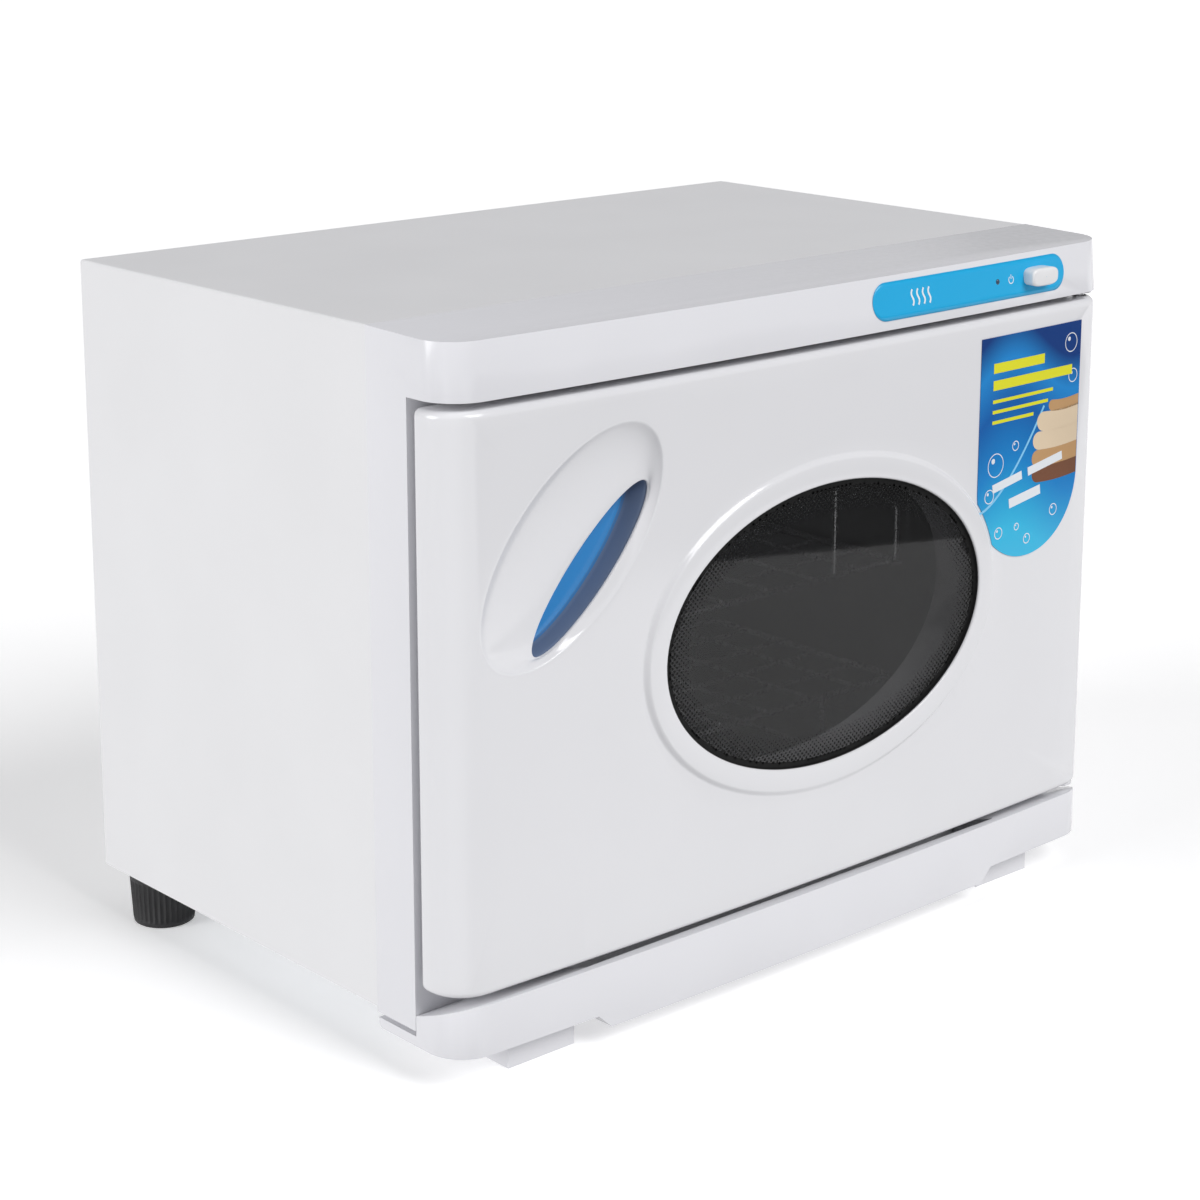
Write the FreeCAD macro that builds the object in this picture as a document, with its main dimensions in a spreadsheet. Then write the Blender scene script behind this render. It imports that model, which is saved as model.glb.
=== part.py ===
import FreeCAD, Part
import math
import os
import re

import Sketcher
from FreeCAD import Placement, Rotation, Vector

# Hot towel cabinet: a painted steel case with a moulded front frame, a hinged door with an oval
# window, a pull-out drip tray, and an insulated aluminium chamber that holds two wire racks.
# Frame: x to the right, y to the back, z up. The origin lies on the ground under the middle.

document = FreeCAD.newDocument("HotTowelCabinet")

# Driving dimensions, in millimetres.
SIZES = {
    "overall_width": 450, "overall_height": 350,
    "case_depth": 237, "case_floor": 27, "sheet_wall": 1, "case_flange": 12, "cover_inset": 2,
    "bend_radius": 1.5,
    "bezel_depth": 63, "front_bow": 5, "corner_radius": 20, "mould_wall": 3,
    "header_drop": 28, "frame_drop": 2.5,
    "door_depth": 31, "door_rise": 19, "door_gap": 4, "door_back_gap": 3, "door_edge_radius": 2.5,
    "panel_wall": 2, "fit_gap": 0.3, "running_gap": 0.05,
    "stile_wide": 50, "chamber_margin": 16, "chamber_radius": 12, "liner_wall": 1, "liner_flange": 8,
    "insulation_wall": 20, "wiring_space": 11, "heater_wall": 2, "heater_side": 35, "heater_depth": 140,
    "window_x": 9.6, "window_drop": 1.7, "window_side": 114.7, "window_band": 64.75,
    "ring_width": 14, "ring_rise": 1.2, "glass_wall": 4, "glass_recess": 0.8, "gasket_wall": 3.2,
    "glass_bite": 1.7, "gasket_lip": 1,
    "dish_side": 69.5, "dish_drop": 69.7, "dish_major": 66.4, "dish_minor": 34.8, "dish_depth": 14,
    "dish_angle": 45, "dish_ball": 30,
    "cup_right": 11.8, "cup_under": 10.6, "cup_major": 49, "cup_minor": 12.4, "cup_angle": 47,
    "cup_wall": 1.5, "cup_clear": 1.5,
    "label_side": 38, "label_length": 150, "label_high": 19, "film_wall": 0.4,
    "button_side": 61.5, "button_wide": 20.6, "button_high": 9.5, "button_rise": 5.6,
    "button_inside": 7, "button_travel": 3, "button_radius": 3.5, "stem_radius": 2.5,
    "lamp_side": 93, "lamp_radius": 1.6,
    "art_side": 23, "art_wide": 83, "art_drop": 10, "art_tall": 121, "art_radius": 41, "art_gap": 1,
    "hinge_angle": 38.7, "hinge_cover": 0.2, "hinge_boss": 7, "hinge_plate": 2,
    "pin_radius": 3, "bush_radius": 4.5, "pin_reach": 16,
    "seal_wide": 10, "seal_inset": 6, "catch_wide": 12, "catch_high": 40, "catch_side": 20,
    "catch_depth": 8, "strike_wall": 1.2,
    "tray_lip_drop": 7.5, "tray_lug": 5, "notch_gap": 2.5, "tray_slope": 10,
    "tray_lip_side": 92, "tray_lip_run": 8, "trough_side": 79, "tray_rear_gap": 1,
    "foot_clear": 4, "front_foot_wide": 41, "front_foot_set": 48, "front_foot_end": 36,
    "rear_foot_side": 18, "rear_foot_set": 27, "rear_foot_top": 17.5, "rear_foot_end": 16,
    "rack_side": 5, "rack_set": 39, "rack_rear": 19.5, "rack_high_rise": 100, "rack_low_rise": 32,
    "frame_wire": 1.75, "mesh_wire": 1.25, "guard_side": 50, "guard_rise": 53, "post_rise": 35,
    "leg_side": 57, "rail_wide": 8, "rail_wall": 1.5,
    "grommet_side": 60, "grommet_rise": 33, "cord_radius": 4, "grommet_wall": 2.5, "grommet_lip": 1.5,
    "terminal_wide": 36, "terminal_high": 14, "terminal_deep": 12, "block_gap": 3.5,
    "lead_radius": 2.5, "thermostat_radius": 8, "thermostat_high": 9, "fuse_radius": 2,
    "screw_radius": 1.6, "screw_head": 3.2, "screw_head_high": 1.5, "screw_reach": 5,
    "vent_wide": 34, "vent_high": 3, "vent_pitch": 9, "vent_count": 6,
}

# Places worked out from the driving dimensions.
PLACES = {
    "half_width": "overall_width / 2",
    "front_radius": "half_width ^ 2 / (2 * front_bow) + front_bow / 2",
    "button_x": "half_width - button_side",
    "button_bow": "front_bow * (button_x / half_width) ^ 2",
    "overall_depth": "case_depth + bezel_depth - button_bow + button_rise",
    "case_back": "overall_depth / 2",
    "seam_y": "case_back - case_depth",
    "crown_y": "seam_y - bezel_depth",
    "corner_y": "crown_y + front_bow",
    "cover_y": "case_back - cover_inset",
    "door_back": "crown_y + door_depth",
    "stile_y": "door_back + door_back_gap",
    "frame_low": "case_floor - frame_drop",
    "door_low": "case_floor + door_rise",
    "header_low": "overall_height - header_drop",
    "door_high": "header_low - door_gap",
    "chamber_low": "door_low + chamber_margin",
    "chamber_high": "door_high - chamber_margin",
    "chamber_centre": "(chamber_low + chamber_high) / 2",
    "chamber_half": "half_width - stile_wide",
    "heater_half": "chamber_half - heater_side",
    "liner_back": "case_back - insulation_wall - wiring_space",
    "window_z": "chamber_centre - window_drop",
    "window_major": "half_width - window_side",
    "window_minor": "(door_high - door_low) / 2 - window_band",
    "dish_x": "dish_side - half_width",
    "dish_z": "door_high - dish_drop",
    "cup_x": "dish_x + cup_right",
    "cup_z": "dish_z - cup_under",
    "label_end": "half_width - label_side",
    "label_x": "label_end - label_length",
    "label_centre": "overall_height - header_drop / 2",
    "lamp_x": "half_width - lamp_side",
    "art_right": "half_width - art_side",
    "art_left": "art_right - art_wide",
    "art_high": "door_high - art_drop",
    "art_low": "art_high - art_tall",
    "hinge_reach": "corner_radius - hinge_boss - hinge_cover",
    "hinge_x": "half_width - corner_radius + hinge_reach * cos(hinge_angle)",
    "hinge_y": "corner_y + corner_radius - hinge_reach * sin(hinge_angle)",
    "catch_x": "catch_side - half_width",
    "glass_y": "crown_y + glass_recess",
    "sleeve_front": "glass_y + glass_wall + gasket_lip - fit_gap",
    "boss_back": "crown_y + dish_depth + mould_wall",
    "cup_back": "door_back - panel_wall - cup_clear",
    "button_front": "crown_y + button_bow - button_rise",
    "button_back": "crown_y + button_bow + button_inside - mould_wall",
    "tray_front": "door_low - door_gap",
    "tray_step": "tray_front - tray_slope",
    "tray_notch": "frame_low - notch_gap",
    "tray_side": "tray_notch - tray_lug",
    "tray_low": "tray_side - tray_lip_drop",
    "tray_back": "seam_y - tray_rear_gap",
    "tray_floor": "tray_low + panel_wall",
    "tray_lip_half": "half_width - tray_lip_side",
    "trough_half": "half_width - trough_side",
    "foot_front": "seam_y - front_foot_set",
    "front_foot_in": "tray_lip_half + tray_lip_run + foot_clear",
    "front_foot_out": "front_foot_in + front_foot_wide",
    "rear_foot_x": "half_width - rear_foot_side",
    "rear_foot_y": "case_back - rear_foot_set",
    "rack_half": "chamber_half - rack_side",
    "rack_front": "seam_y + rack_set",
    "rack_back": "liner_back - liner_wall - rack_rear",
    "rack_high": "chamber_low + rack_high_rise",
    "rack_low": "chamber_low + rack_low_rise",
    "guard_half": "rack_half - guard_side",
    "leg_half": "rack_half - leg_side",
    "terminal_low": "chamber_high + liner_wall + insulation_wall + block_gap",
    "grommet_x": "half_width - grommet_side",
    "grommet_z": "case_floor + grommet_rise",
}

sheet = document.addObject("Spreadsheet::Sheet", "Sizes")


def sized(text):
    """The expression text, with the sheet's name in front of each size that it uses."""
    def full_name(match):
        word = match.group()
        if word in SIZES or word in PLACES:
            return "Sizes." + word
        return word
    return re.sub(r"[a-z_]+", full_name, text)


def fill_sheet():
    """One row for each driving size, then one row for each place worked out from them."""
    row = 1
    for name, size in SIZES.items():
        sheet.set("A%d" % row, name)
        sheet.set("B%d" % row, str(size))
        sheet.setAlias("B%d" % row, name)
        row += 1
    document.recompute()
    for name, formula in PLACES.items():
        sheet.set("A%d" % row, name)
        sheet.set("B%d" % row, "=" + formula)
        sheet.setAlias("B%d" % row, name)
        document.recompute()
        row += 1


fill_sheet()
parts = []


def size(name):
    """The present value of one size or place in the sheet."""
    return float(getattr(sheet, name))


def bind(target, bindings):
    """Tie each property of the target to an expression of the sheet's sizes."""
    for name, text in bindings.items():
        target.setExpression(name, sized(text))


def finish(shape_object, label):
    """Give a finished piece its label and list it as a sub-part."""
    shape_object.Label = label
    parts.append(shape_object)
    return shape_object


# ---- primitives ---------------------------------------------------------------------------

def block(name, x_span, y_span, z_span):
    """Box between two places on each axis."""
    box = document.addObject("Part::Box", name)
    spans = (x_span, y_span, z_span)
    for side, axis, span in zip(("Length", "Width", "Height"), "xyz", spans):
        bind(box, {side: "(%s) - (%s)" % (span[1], span[0]), "Placement.Base." + axis: span[0]})
    return box


AXIS_TURNS = {
    "x": Rotation(Vector(0, 1, 0), 90),
    "y": Rotation(Vector(1, 0, 0), -90),
    "z": Rotation(),
}


def rod(name, axis, start, length, radius):
    """Cylinder from its start point along one axis."""
    cylinder = document.addObject("Part::Cylinder", name)
    cylinder.Placement = Placement(Vector(), AXIS_TURNS[axis])
    bind(cylinder, {"Radius": radius, "Height": length})
    for letter, text in zip("xyz", start):
        bind(cylinder, {"Placement.Base." + letter: text})
    return cylinder


def oval(name, centre, semi_axes, angle, y_span):
    """Elliptical prism through the door: it lies in the XZ plane and runs towards the back."""
    ellipse = document.addObject("Part::Ellipse", name + "_outline")
    turn = Rotation(Vector(1, 0, 0), 90).multiply(Rotation(Vector(0, 0, 1), angle))
    ellipse.Placement = Placement(Vector(), turn)
    bind(ellipse, {
        "MajorRadius": semi_axes[0], "MinorRadius": semi_axes[1],
        "Placement.Base.x": centre[0], "Placement.Base.y": y_span[0],
        "Placement.Base.z": centre[1],
    })
    prism = document.addObject("Part::Extrusion", name)
    prism.Base = ellipse
    prism.DirMode = "Custom"
    prism.Dir = Vector(0, 1, 0)
    prism.Solid = True
    bind(prism, {"LengthFwd": "(%s) - (%s)" % (y_span[1], y_span[0])})
    return prism


def joined(name, pieces):
    """One solid from pieces that are moulded, formed or welded together."""
    fuse = document.addObject("Part::MultiFuse", name)
    fuse.Shapes = pieces
    return fuse


def cut(name, base, tool):
    """The base with the tool's shape taken away."""
    result = document.addObject("Part::Cut", name)
    result.Base = base
    result.Tool = tool
    return result


def cut_all(name, base, tools):
    """The base with every tool taken away."""
    return cut(name, base, joined(name + "_tools", tools))


def common(name, base, tool):
    """What two shapes share."""
    result = document.addObject("Part::Common", name)
    result.Base = base
    result.Tool = tool
    return result


# ---- bodies made from sketches --------------------------------------------------------------

def new_body(name):
    """Empty body for one moulded or folded piece."""
    return document.addObject("PartDesign::Body", name)


def new_sketch(body, name, role, offset):
    """Sketch on one of the body's own planes, moved along that plane's normal."""
    sketch = body.newObject("Sketcher::SketchObject", name)
    planes = [item for item in body.Origin.OriginFeatures if item.Role == role]
    sketch.AttachmentSupport = [(planes[0], "")]
    sketch.MapMode = "FlatFace"
    bind(sketch, {".AttachmentOffset.Base.z": offset})
    return sketch


def hold(sketch, kind, item, point, text):
    """Fix one coordinate of a sketch point, counted from the sketch's origin."""
    position = sketch.getPoint(item, point)
    value = position.x if kind == "DistanceX" else position.y
    constraint = Sketcher.Constraint(kind, -1, 1, item, point, value)
    index = sketch.addConstraint(constraint)
    sketch.setExpression("Constraints[%d]" % index, sized(text))


def draw_outline(sketch, points):
    """Closed outline of straight lines through points given as pairs of expressions."""
    first = sketch.GeometryCount
    count = len(points)
    for number in range(count):
        angle = 2 * math.pi * number / count
        following = 2 * math.pi * (number + 1) / count
        sketch.addGeometry(Part.LineSegment(
            Vector(100 * math.cos(angle), 100 * math.sin(angle), 0),
            Vector(100 * math.cos(following), 100 * math.sin(following), 0),
        ))
    for number in range(count):
        following = first + (number + 1) % count
        sketch.addConstraint(Sketcher.Constraint("Coincident", first + number, 2, following, 1))
    for number, point in enumerate(points):
        hold(sketch, "DistanceX", first + number, 1, point[0])
        hold(sketch, "DistanceY", first + number, 1, point[1])


def draw_rectangle(sketch, x_span, y_span):
    """Closed rectangle between two places on each of the sketch's axes."""
    low_x, high_x = x_span
    low_y, high_y = y_span
    draw_outline(sketch, [(low_x, low_y), (high_x, low_y), (high_x, high_y), (low_x, high_y)])


def draw_bowed_plan(sketch, inset, back):
    """Plan of the bowed front: straight back and sides, and one shallow arc across the front."""
    wall = size(inset) if inset != "0" else 0
    half = size("half_width") - wall
    radius = size("front_radius") - wall
    centre_y = size("crown_y") + size("front_radius")
    side_y = centre_y - math.sqrt(radius ** 2 - half ** 2)
    back_y = size(back)
    tilt = math.asin(half / radius)
    circle = Part.Circle(Vector(0, centre_y, 0), Vector(0, 0, 1), radius)
    sketch.addGeometry(Part.LineSegment(Vector(-half, back_y, 0), Vector(half, back_y, 0)))
    sketch.addGeometry(Part.LineSegment(Vector(half, back_y, 0), Vector(half, side_y, 0)))
    sketch.addGeometry(Part.ArcOfCircle(circle, -math.pi / 2 - tilt, -math.pi / 2 + tilt))
    sketch.addGeometry(Part.LineSegment(Vector(-half, side_y, 0), Vector(-half, back_y, 0)))
    for first, first_end, second, second_end in ((0, 2, 1, 1), (1, 2, 2, 2), (2, 1, 3, 1), (3, 2, 0, 1)):
        sketch.addConstraint(Sketcher.Constraint("Coincident", first, first_end, second, second_end))
    sketch.addConstraint(Sketcher.Constraint("Horizontal", 0))
    sketch.addConstraint(Sketcher.Constraint("Vertical", 1))
    sketch.addConstraint(Sketcher.Constraint("Vertical", 3))
    sketch.addConstraint(Sketcher.Constraint("PointOnObject", 2, 3, -2))
    hold(sketch, "DistanceX", 0, 1, "-(half_width - %s)" % inset)
    hold(sketch, "DistanceX", 0, 2, "half_width - %s" % inset)
    hold(sketch, "DistanceY", 0, 1, back)
    hold(sketch, "DistanceY", 2, 3, "crown_y + front_radius")
    index = sketch.addConstraint(Sketcher.Constraint("Radius", 2, radius))
    sketch.setExpression("Constraints[%d]" % index, sized("front_radius - %s" % inset))


def pad(body, name, sketch, length):
    """Material from the sketch along its plane's normal."""
    feature = body.newObject("PartDesign::Pad", name)
    feature.Profile = sketch
    bind(feature, {"Length": length})
    return feature


def pocket(body, name, sketch, length):
    """Cut from the sketch along its plane's normal; the body must lose material."""
    document.recompute()
    before = body.Shape.Volume
    feature = body.newObject("PartDesign::Pocket", name)
    feature.Profile = sketch
    feature.Reversed = True
    bind(feature, {"Length": length})
    document.recompute()
    if body.Shape.Volume >= before:
        raise RuntimeError(name + " cuts nothing")
    return feature


def pad_box(body, name, x_span, y_span, z_span):
    """Rectangular material between two places on each axis."""
    sketch = new_sketch(body, name + "_sketch", "XY_Plane", z_span[0])
    draw_rectangle(sketch, x_span, y_span)
    return pad(body, name, sketch, "(%s) - (%s)" % (z_span[1], z_span[0]))


def pocket_box(body, name, x_span, y_span, z_span):
    """Rectangular cut between two places on each axis."""
    sketch = new_sketch(body, name + "_sketch", "XY_Plane", z_span[0])
    draw_rectangle(sketch, x_span, y_span)
    return pocket(body, name, sketch, "(%s) - (%s)" % (z_span[1], z_span[0]))


def pad_bowed(body, name, back, z_span):
    """Material under the bowed front's plan."""
    sketch = new_sketch(body, name + "_sketch", "XY_Plane", z_span[0])
    draw_bowed_plan(sketch, "0", back)
    return pad(body, name, sketch, "(%s) - (%s)" % (z_span[1], z_span[0]))


def pocket_bowed(body, name, inset, back, z_span):
    """Cut that follows the bowed front's plan, one wall inside it."""
    sketch = new_sketch(body, name + "_sketch", "XY_Plane", z_span[0])
    draw_bowed_plan(sketch, inset, back)
    return pocket(body, name, sketch, "(%s) - (%s)" % (z_span[1], z_span[0]))


def round_edges(body, name, radius, direction, places):
    """Fillet the body's straight edges along one axis that pass through the given places.

    Each place gives the edge's two other coordinates, in axis order.
    """
    document.recompute()
    base = body.Tip
    chosen = []
    for number, edge in enumerate(base.Shape.Edges, 1):
        if edge.Curve.TypeId != "Part::GeomLine":
            continue
        along = abs(edge.Curve.Direction.dot(direction))
        middle = edge.CenterOfMass
        seen = [value for value, part in zip(middle, direction) if part == 0]
        close = any(abs(seen[0] - a) < 0.05 and abs(seen[1] - b) < 0.05 for a, b in places)
        if along > 0.999 and close:
            chosen.append("Edge%d" % number)
    if not chosen:
        raise RuntimeError(name + " found no edge")
    feature = body.newObject("PartDesign::Fillet", name)
    feature.Base = (base, chosen)
    bind(feature, {"Radius": radius})
    return feature


def bowed_side(inset):
    """Where the bowed arc meets the side wall, for a wall of the given thickness."""
    radius = size("front_radius") - inset
    half = size("half_width") - inset
    return size("crown_y") + size("front_radius") - math.sqrt(radius ** 2 - half ** 2)


ALONG_X = Vector(1, 0, 0)
ALONG_Y = Vector(0, 1, 0)
ALONG_Z = Vector(0, 0, 1)


# ---- screws -----------------------------------------------------------------------------------

def screw_group(name, places, direction):
    """Identical pan-head screws as separate solids: each shank points along the direction."""
    screws = []
    for place in places:
        shank = Part.makeCylinder(size("screw_radius"), size("screw_reach"), place, direction)
        head = Part.makeCylinder(size("screw_head"), size("screw_head_high"), place, direction * -1)
        screws.append(shank.fuse(head))
    group = document.addObject("Part::Feature", name)
    group.Shape = Part.makeCompound(screws)
    group.Placement = Placement()
    return group


def cover_screw_places():
    """Four screws up each side of the back cover, in the case's flange."""
    across = size("half_width") - size("case_flange") / 2
    low = size("case_floor") + 2 * size("case_flange")
    high = size("overall_height") - 2 * size("case_flange")
    places = []
    for side in (-across, across):
        for number in range(4):
            places.append(Vector(side, size("cover_y"), low + (high - low) * number / 3))
    return places


def foot_screw_places():
    """One screw down through the base plate into each foot."""
    top = size("case_floor") + size("sheet_wall")
    front = ((size("front_foot_in") + size("front_foot_out")) / 2,
             size("seam_y") + size("front_foot_end") / 2)
    rear = (size("rear_foot_x"), size("rear_foot_y"))
    return [Vector(side * x, y, top) for x, y in (front, rear) for side in (-1, 1)]


def upper_hinge_screw_places():
    """Two screws up through the upper hinge plate, behind its pin."""
    low = size("header_low") - size("hinge_plate")
    apart = size("screw_head") + size("fit_gap")
    back = size("stile_y") - size("screw_head") - size("fit_gap")
    return [Vector(size("hinge_x") + side * apart, back, low) for side in (-1, 1)]


def lower_hinge_screw_places():
    """One screw down through the lower hinge plate's tongue."""
    high = size("door_low") - size("door_gap") / 2 + size("hinge_plate") / 2
    return [Vector(size("hinge_x"), size("stile_y") + 3 * size("mould_wall"), high)]


cover_screws = screw_group("CoverScrews", cover_screw_places(), ALONG_Y * -1)
foot_screws = screw_group("FootScrews", foot_screw_places(), ALONG_Z * -1)
upper_hinge_screws = screw_group("UpperHingeScrews", upper_hinge_screw_places(), ALONG_Z)
lower_hinge_screw = screw_group("LowerHingeScrew", lower_hinge_screw_places(), ALONG_Z * -1)


# ---- case -----------------------------------------------------------------------------------

def make_outer_case():
    """Folded steel wrap: top and two sides, with a narrow flange round its back edge."""
    body = new_body("OuterCase")
    pad_box(body, "CaseOuter", ("-half_width", "half_width"), ("seam_y", "case_back"),
            ("case_floor", "overall_height"))
    pocket_box(body, "CaseInner",
               ("-half_width + sheet_wall", "half_width - sheet_wall"), ("seam_y", "case_back"),
               ("case_floor", "overall_height - sheet_wall"))
    flange_y = ("cover_y - 2 * sheet_wall", "cover_y - sheet_wall")
    pad_box(body, "FlangeLeft", ("-half_width + sheet_wall / 2", "-half_width + case_flange"), flange_y,
            ("case_floor + case_flange", "overall_height - sheet_wall / 2"))
    pad_box(body, "FlangeRight", ("half_width - case_flange", "half_width - sheet_wall / 2"), flange_y,
            ("case_floor + case_flange", "overall_height - sheet_wall / 2"))
    pad_box(body, "FlangeTop", ("-half_width + case_flange", "half_width - case_flange"), flange_y,
            ("overall_height - case_flange", "overall_height - sheet_wall / 2"))
    half = size("half_width")
    high = size("overall_height")
    round_edges(body, "CaseBends", "bend_radius", ALONG_Y, [(half, high), (-half, high)])
    return cut("CaseDrilled", body, cover_screws)


def make_base_plate():
    """Flat steel floor between the case's two sides."""
    plate = block("BaseSheet", ("-half_width + sheet_wall", "half_width - sheet_wall"),
                  ("seam_y", "cover_y - sheet_wall"), ("case_floor", "case_floor + sheet_wall"))
    return cut("BasePlate", plate, foot_screws)


def make_rear_cover():
    """Steel back with two stacks of vent slots, the cord's hole and its screw holes."""
    plate = block("RearPlate", ("-half_width + sheet_wall", "half_width - sheet_wall"),
                  ("cover_y - sheet_wall", "cover_y"),
                  ("case_floor", "overall_height - sheet_wall"))
    tools = [rod("CordHole", "y", ("grommet_x", "cover_y - 2 * sheet_wall", "grommet_z"),
                 "4 * sheet_wall", "cord_radius + grommet_wall")]
    for side in ("-", ""):
        for number in range(int(size("vent_count"))):
            low = "chamber_high - %d * vent_pitch" % number
            tools.append(block("Vent%s%d" % (side and "L", number),
                               (side + "half_width / 2 - vent_wide / 2",
                                side + "half_width / 2 + vent_wide / 2"),
                               ("cover_y - 2 * sheet_wall", "cover_y + sheet_wall"),
                               (low, low + " + vent_high")))
    return cut_all("RearCover", plate, tools + [cover_screws])


# ---- moulded front frame ----------------------------------------------------------------------

def make_front_frame():
    """Moulded frame: a hollow ring round the chamber's mouth, and a header that overhangs the door."""
    body = new_body("FrontFrameBody")
    pad_box(body, "FrameRing", ("-half_width", "half_width"), ("stile_y", "seam_y"),
            ("frame_low", "overall_height"))
    pad_bowed(body, "Header", "seam_y", ("header_low", "overall_height"))
    pocket_bowed(body, "HeaderHollow", "mould_wall", "seam_y",
                 ("header_low + mould_wall", "overall_height - mould_wall"))
    half = size("half_width")
    wall = size("mould_wall")
    round_edges(body, "HollowCorners", "corner_radius - mould_wall", ALONG_Z,
                [(half - wall, bowed_side(wall)), (wall - half, bowed_side(wall))])
    round_edges(body, "HeaderCorners", "corner_radius", ALONG_Z,
                [(half, bowed_side(0)), (-half, bowed_side(0))])
    pocket_box(body, "Mouth", ("-chamber_half", "chamber_half"),
               ("stile_y - fit_gap", "seam_y"), ("chamber_low", "chamber_high"))
    low = size("chamber_low")
    high = size("chamber_high")
    across = size("chamber_half")
    round_edges(body, "MouthCorners", "chamber_radius", ALONG_Y,
                [(-across, low), (across, low), (-across, high), (across, high)])
    walls = {
        "Left": (("-half_width + mould_wall", "-chamber_half - mould_wall"),
                 ("frame_low + mould_wall", "overall_height - mould_wall")),
        "Right": (("chamber_half + mould_wall", "half_width - mould_wall"),
                  ("frame_low + mould_wall", "overall_height - mould_wall")),
        "Low": (("-chamber_half - mould_wall", "chamber_half + mould_wall"),
                ("frame_low + mould_wall", "chamber_low - mould_wall")),
        "High": (("-chamber_half - mould_wall", "chamber_half + mould_wall"),
                 ("chamber_high + mould_wall", "overall_height - mould_wall")),
    }
    for name, (x_span, z_span) in walls.items():
        pocket_box(body, "Hollow" + name, x_span, ("stile_y + mould_wall", "seam_y"), z_span)
    tools = [button_shape("ButtonHole", "fit_gap", "crown_y - front_bow", "boss_back"),
             rod("LampHole", "y", ("lamp_x", "crown_y - front_bow", "label_centre"),
                 "boss_back - crown_y + front_bow", "lamp_radius"),
             block("CatchSeat", ("catch_x - catch_wide / 2", "catch_x + catch_wide / 2"),
                   ("stile_y - fit_gap", "stile_y + mould_wall + fit_gap"),
                   ("chamber_centre - catch_high / 2", "chamber_centre + catch_high / 2")),
             lower_plate_shape("LowerPlateSlot")]
    plate_low = "door_low - door_gap / 2 - hinge_plate / 2"
    boss = block("LowerPlateBoss", ("hinge_x - hinge_boss", "half_width - mould_wall / 2"),
                 ("stile_y + mould_wall / 2", "stile_y + 5 * mould_wall"),
                 ("frame_low + mould_wall / 2", plate_low))
    tools += [upper_hinge_screws, lower_hinge_screw]
    return cut_all("FrontFrame", joined("FrameWithBoss", [body, boss]), tools)


def button_shape(name, gap, front, back):
    """Bar with the button's rounded rectangular outline, grown by a gap."""
    across = "(button_wide / 2 - button_radius)"
    up = "(button_high / 2 - button_radius)"
    radius = "(button_radius + %s)" % gap
    length = "(%s) - (%s)" % (back, front)
    pieces = [
        block(name + "Wide", ("button_x - button_wide / 2 - " + gap, "button_x + button_wide / 2 + " + gap),
              (front, back), ("label_centre - " + up, "label_centre + " + up)),
        block(name + "Tall", ("button_x - " + across, "button_x + " + across), (front, back),
              ("label_centre - button_high / 2 - " + gap, "label_centre + button_high / 2 + " + gap)),
    ]
    for side in ("-", "+"):
        for level in ("-", "+"):
            place = ("button_x %s %s" % (side, across), front, "label_centre %s %s" % (level, up))
            pieces.append(rod(name + "Corner", "y", place, length, radius))
    return joined(name, pieces)


def plate_shape(name, back, z_span):
    """Steel tongue with a round nose about the hinge axis."""
    length = "(%s) - (%s)" % (z_span[1], z_span[0])
    nose = rod(name + "Nose", "z", ("hinge_x", "hinge_y", z_span[0]), length, "hinge_boss")
    tongue = block(name + "Tongue", ("hinge_x - hinge_boss", "hinge_x + hinge_boss"),
                   ("hinge_y", back), z_span)
    return joined(name, [nose, tongue])


def lower_plate_shape(name):
    """Plate that carries the lower hinge pin: its tongue passes through the frame's front wall."""
    level = "(door_low - door_gap / 2)"
    return plate_shape(name, "stile_y + 5 * mould_wall",
                       (level + " - hinge_plate / 2", level + " + hinge_plate / 2"))


# ---- chamber ----------------------------------------------------------------------------------

def tray_box(name, grow, y_span):
    """Rounded bar of the chamber's section, grown by a wall, between two places in depth."""
    body = new_body(name)
    sketch = new_sketch(body, name + "Section", "XZ_Plane", "-(%s)" % y_span[1])
    draw_rectangle(sketch, ("-chamber_half - " + grow, "chamber_half + " + grow),
                   ("chamber_low - " + grow, "chamber_high + " + grow))
    pad(body, name + "Pad", sketch, "(%s) - (%s)" % (y_span[1], y_span[0]))
    document.recompute()
    return body


def make_inner_liner():
    """Folded aluminium box, open at the front, with a flange behind the frame's mouth."""
    shell = tray_box("LinerShell", "liner_wall", ("seam_y", "liner_back"))
    flange = tray_box("LinerFlange", "liner_flange", ("seam_y", "seam_y + liner_wall"))
    hollow = tray_box("LinerHollow", "0", ("seam_y - liner_wall", "liner_back - liner_wall"))
    return cut("InnerLiner", joined("LinerSheets", [shell, flange]), hollow)


def make_insulation():
    """Glass-wool jacket round the liner, with seats for the heater and the thermostats."""
    grow = "(liner_wall + insulation_wall)"
    outer = tray_box("JacketOuter", grow, ("seam_y + 2 * liner_wall", "liner_back + insulation_wall"))
    inner = tray_box("JacketInner", "liner_wall", ("seam_y", "liner_back"))
    seats = [
        inner,
        heater_shape("HeaterSeat"),
        rod("ThermostatSeat", "y", ("0", "liner_back", "chamber_centre"), "insulation_wall + fit_gap",
            "thermostat_radius + fit_gap"),
        rod("FuseSeat", "y", ("4 * thermostat_radius", "liner_back", "chamber_centre"),
            "insulation_wall + fit_gap", "4 * fuse_radius"),
    ]
    return cut_all("InsulationJacket", outer, seats)


def heater_shape(name):
    """Flat heating pad against the liner's floor."""
    return block(name, ("-heater_half", "heater_half"),
                 ("(seam_y + liner_back - heater_depth) / 2", "(seam_y + liner_back + heater_depth) / 2"),
                 ("chamber_low - liner_wall - heater_wall", "chamber_low - liner_wall"))


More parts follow.
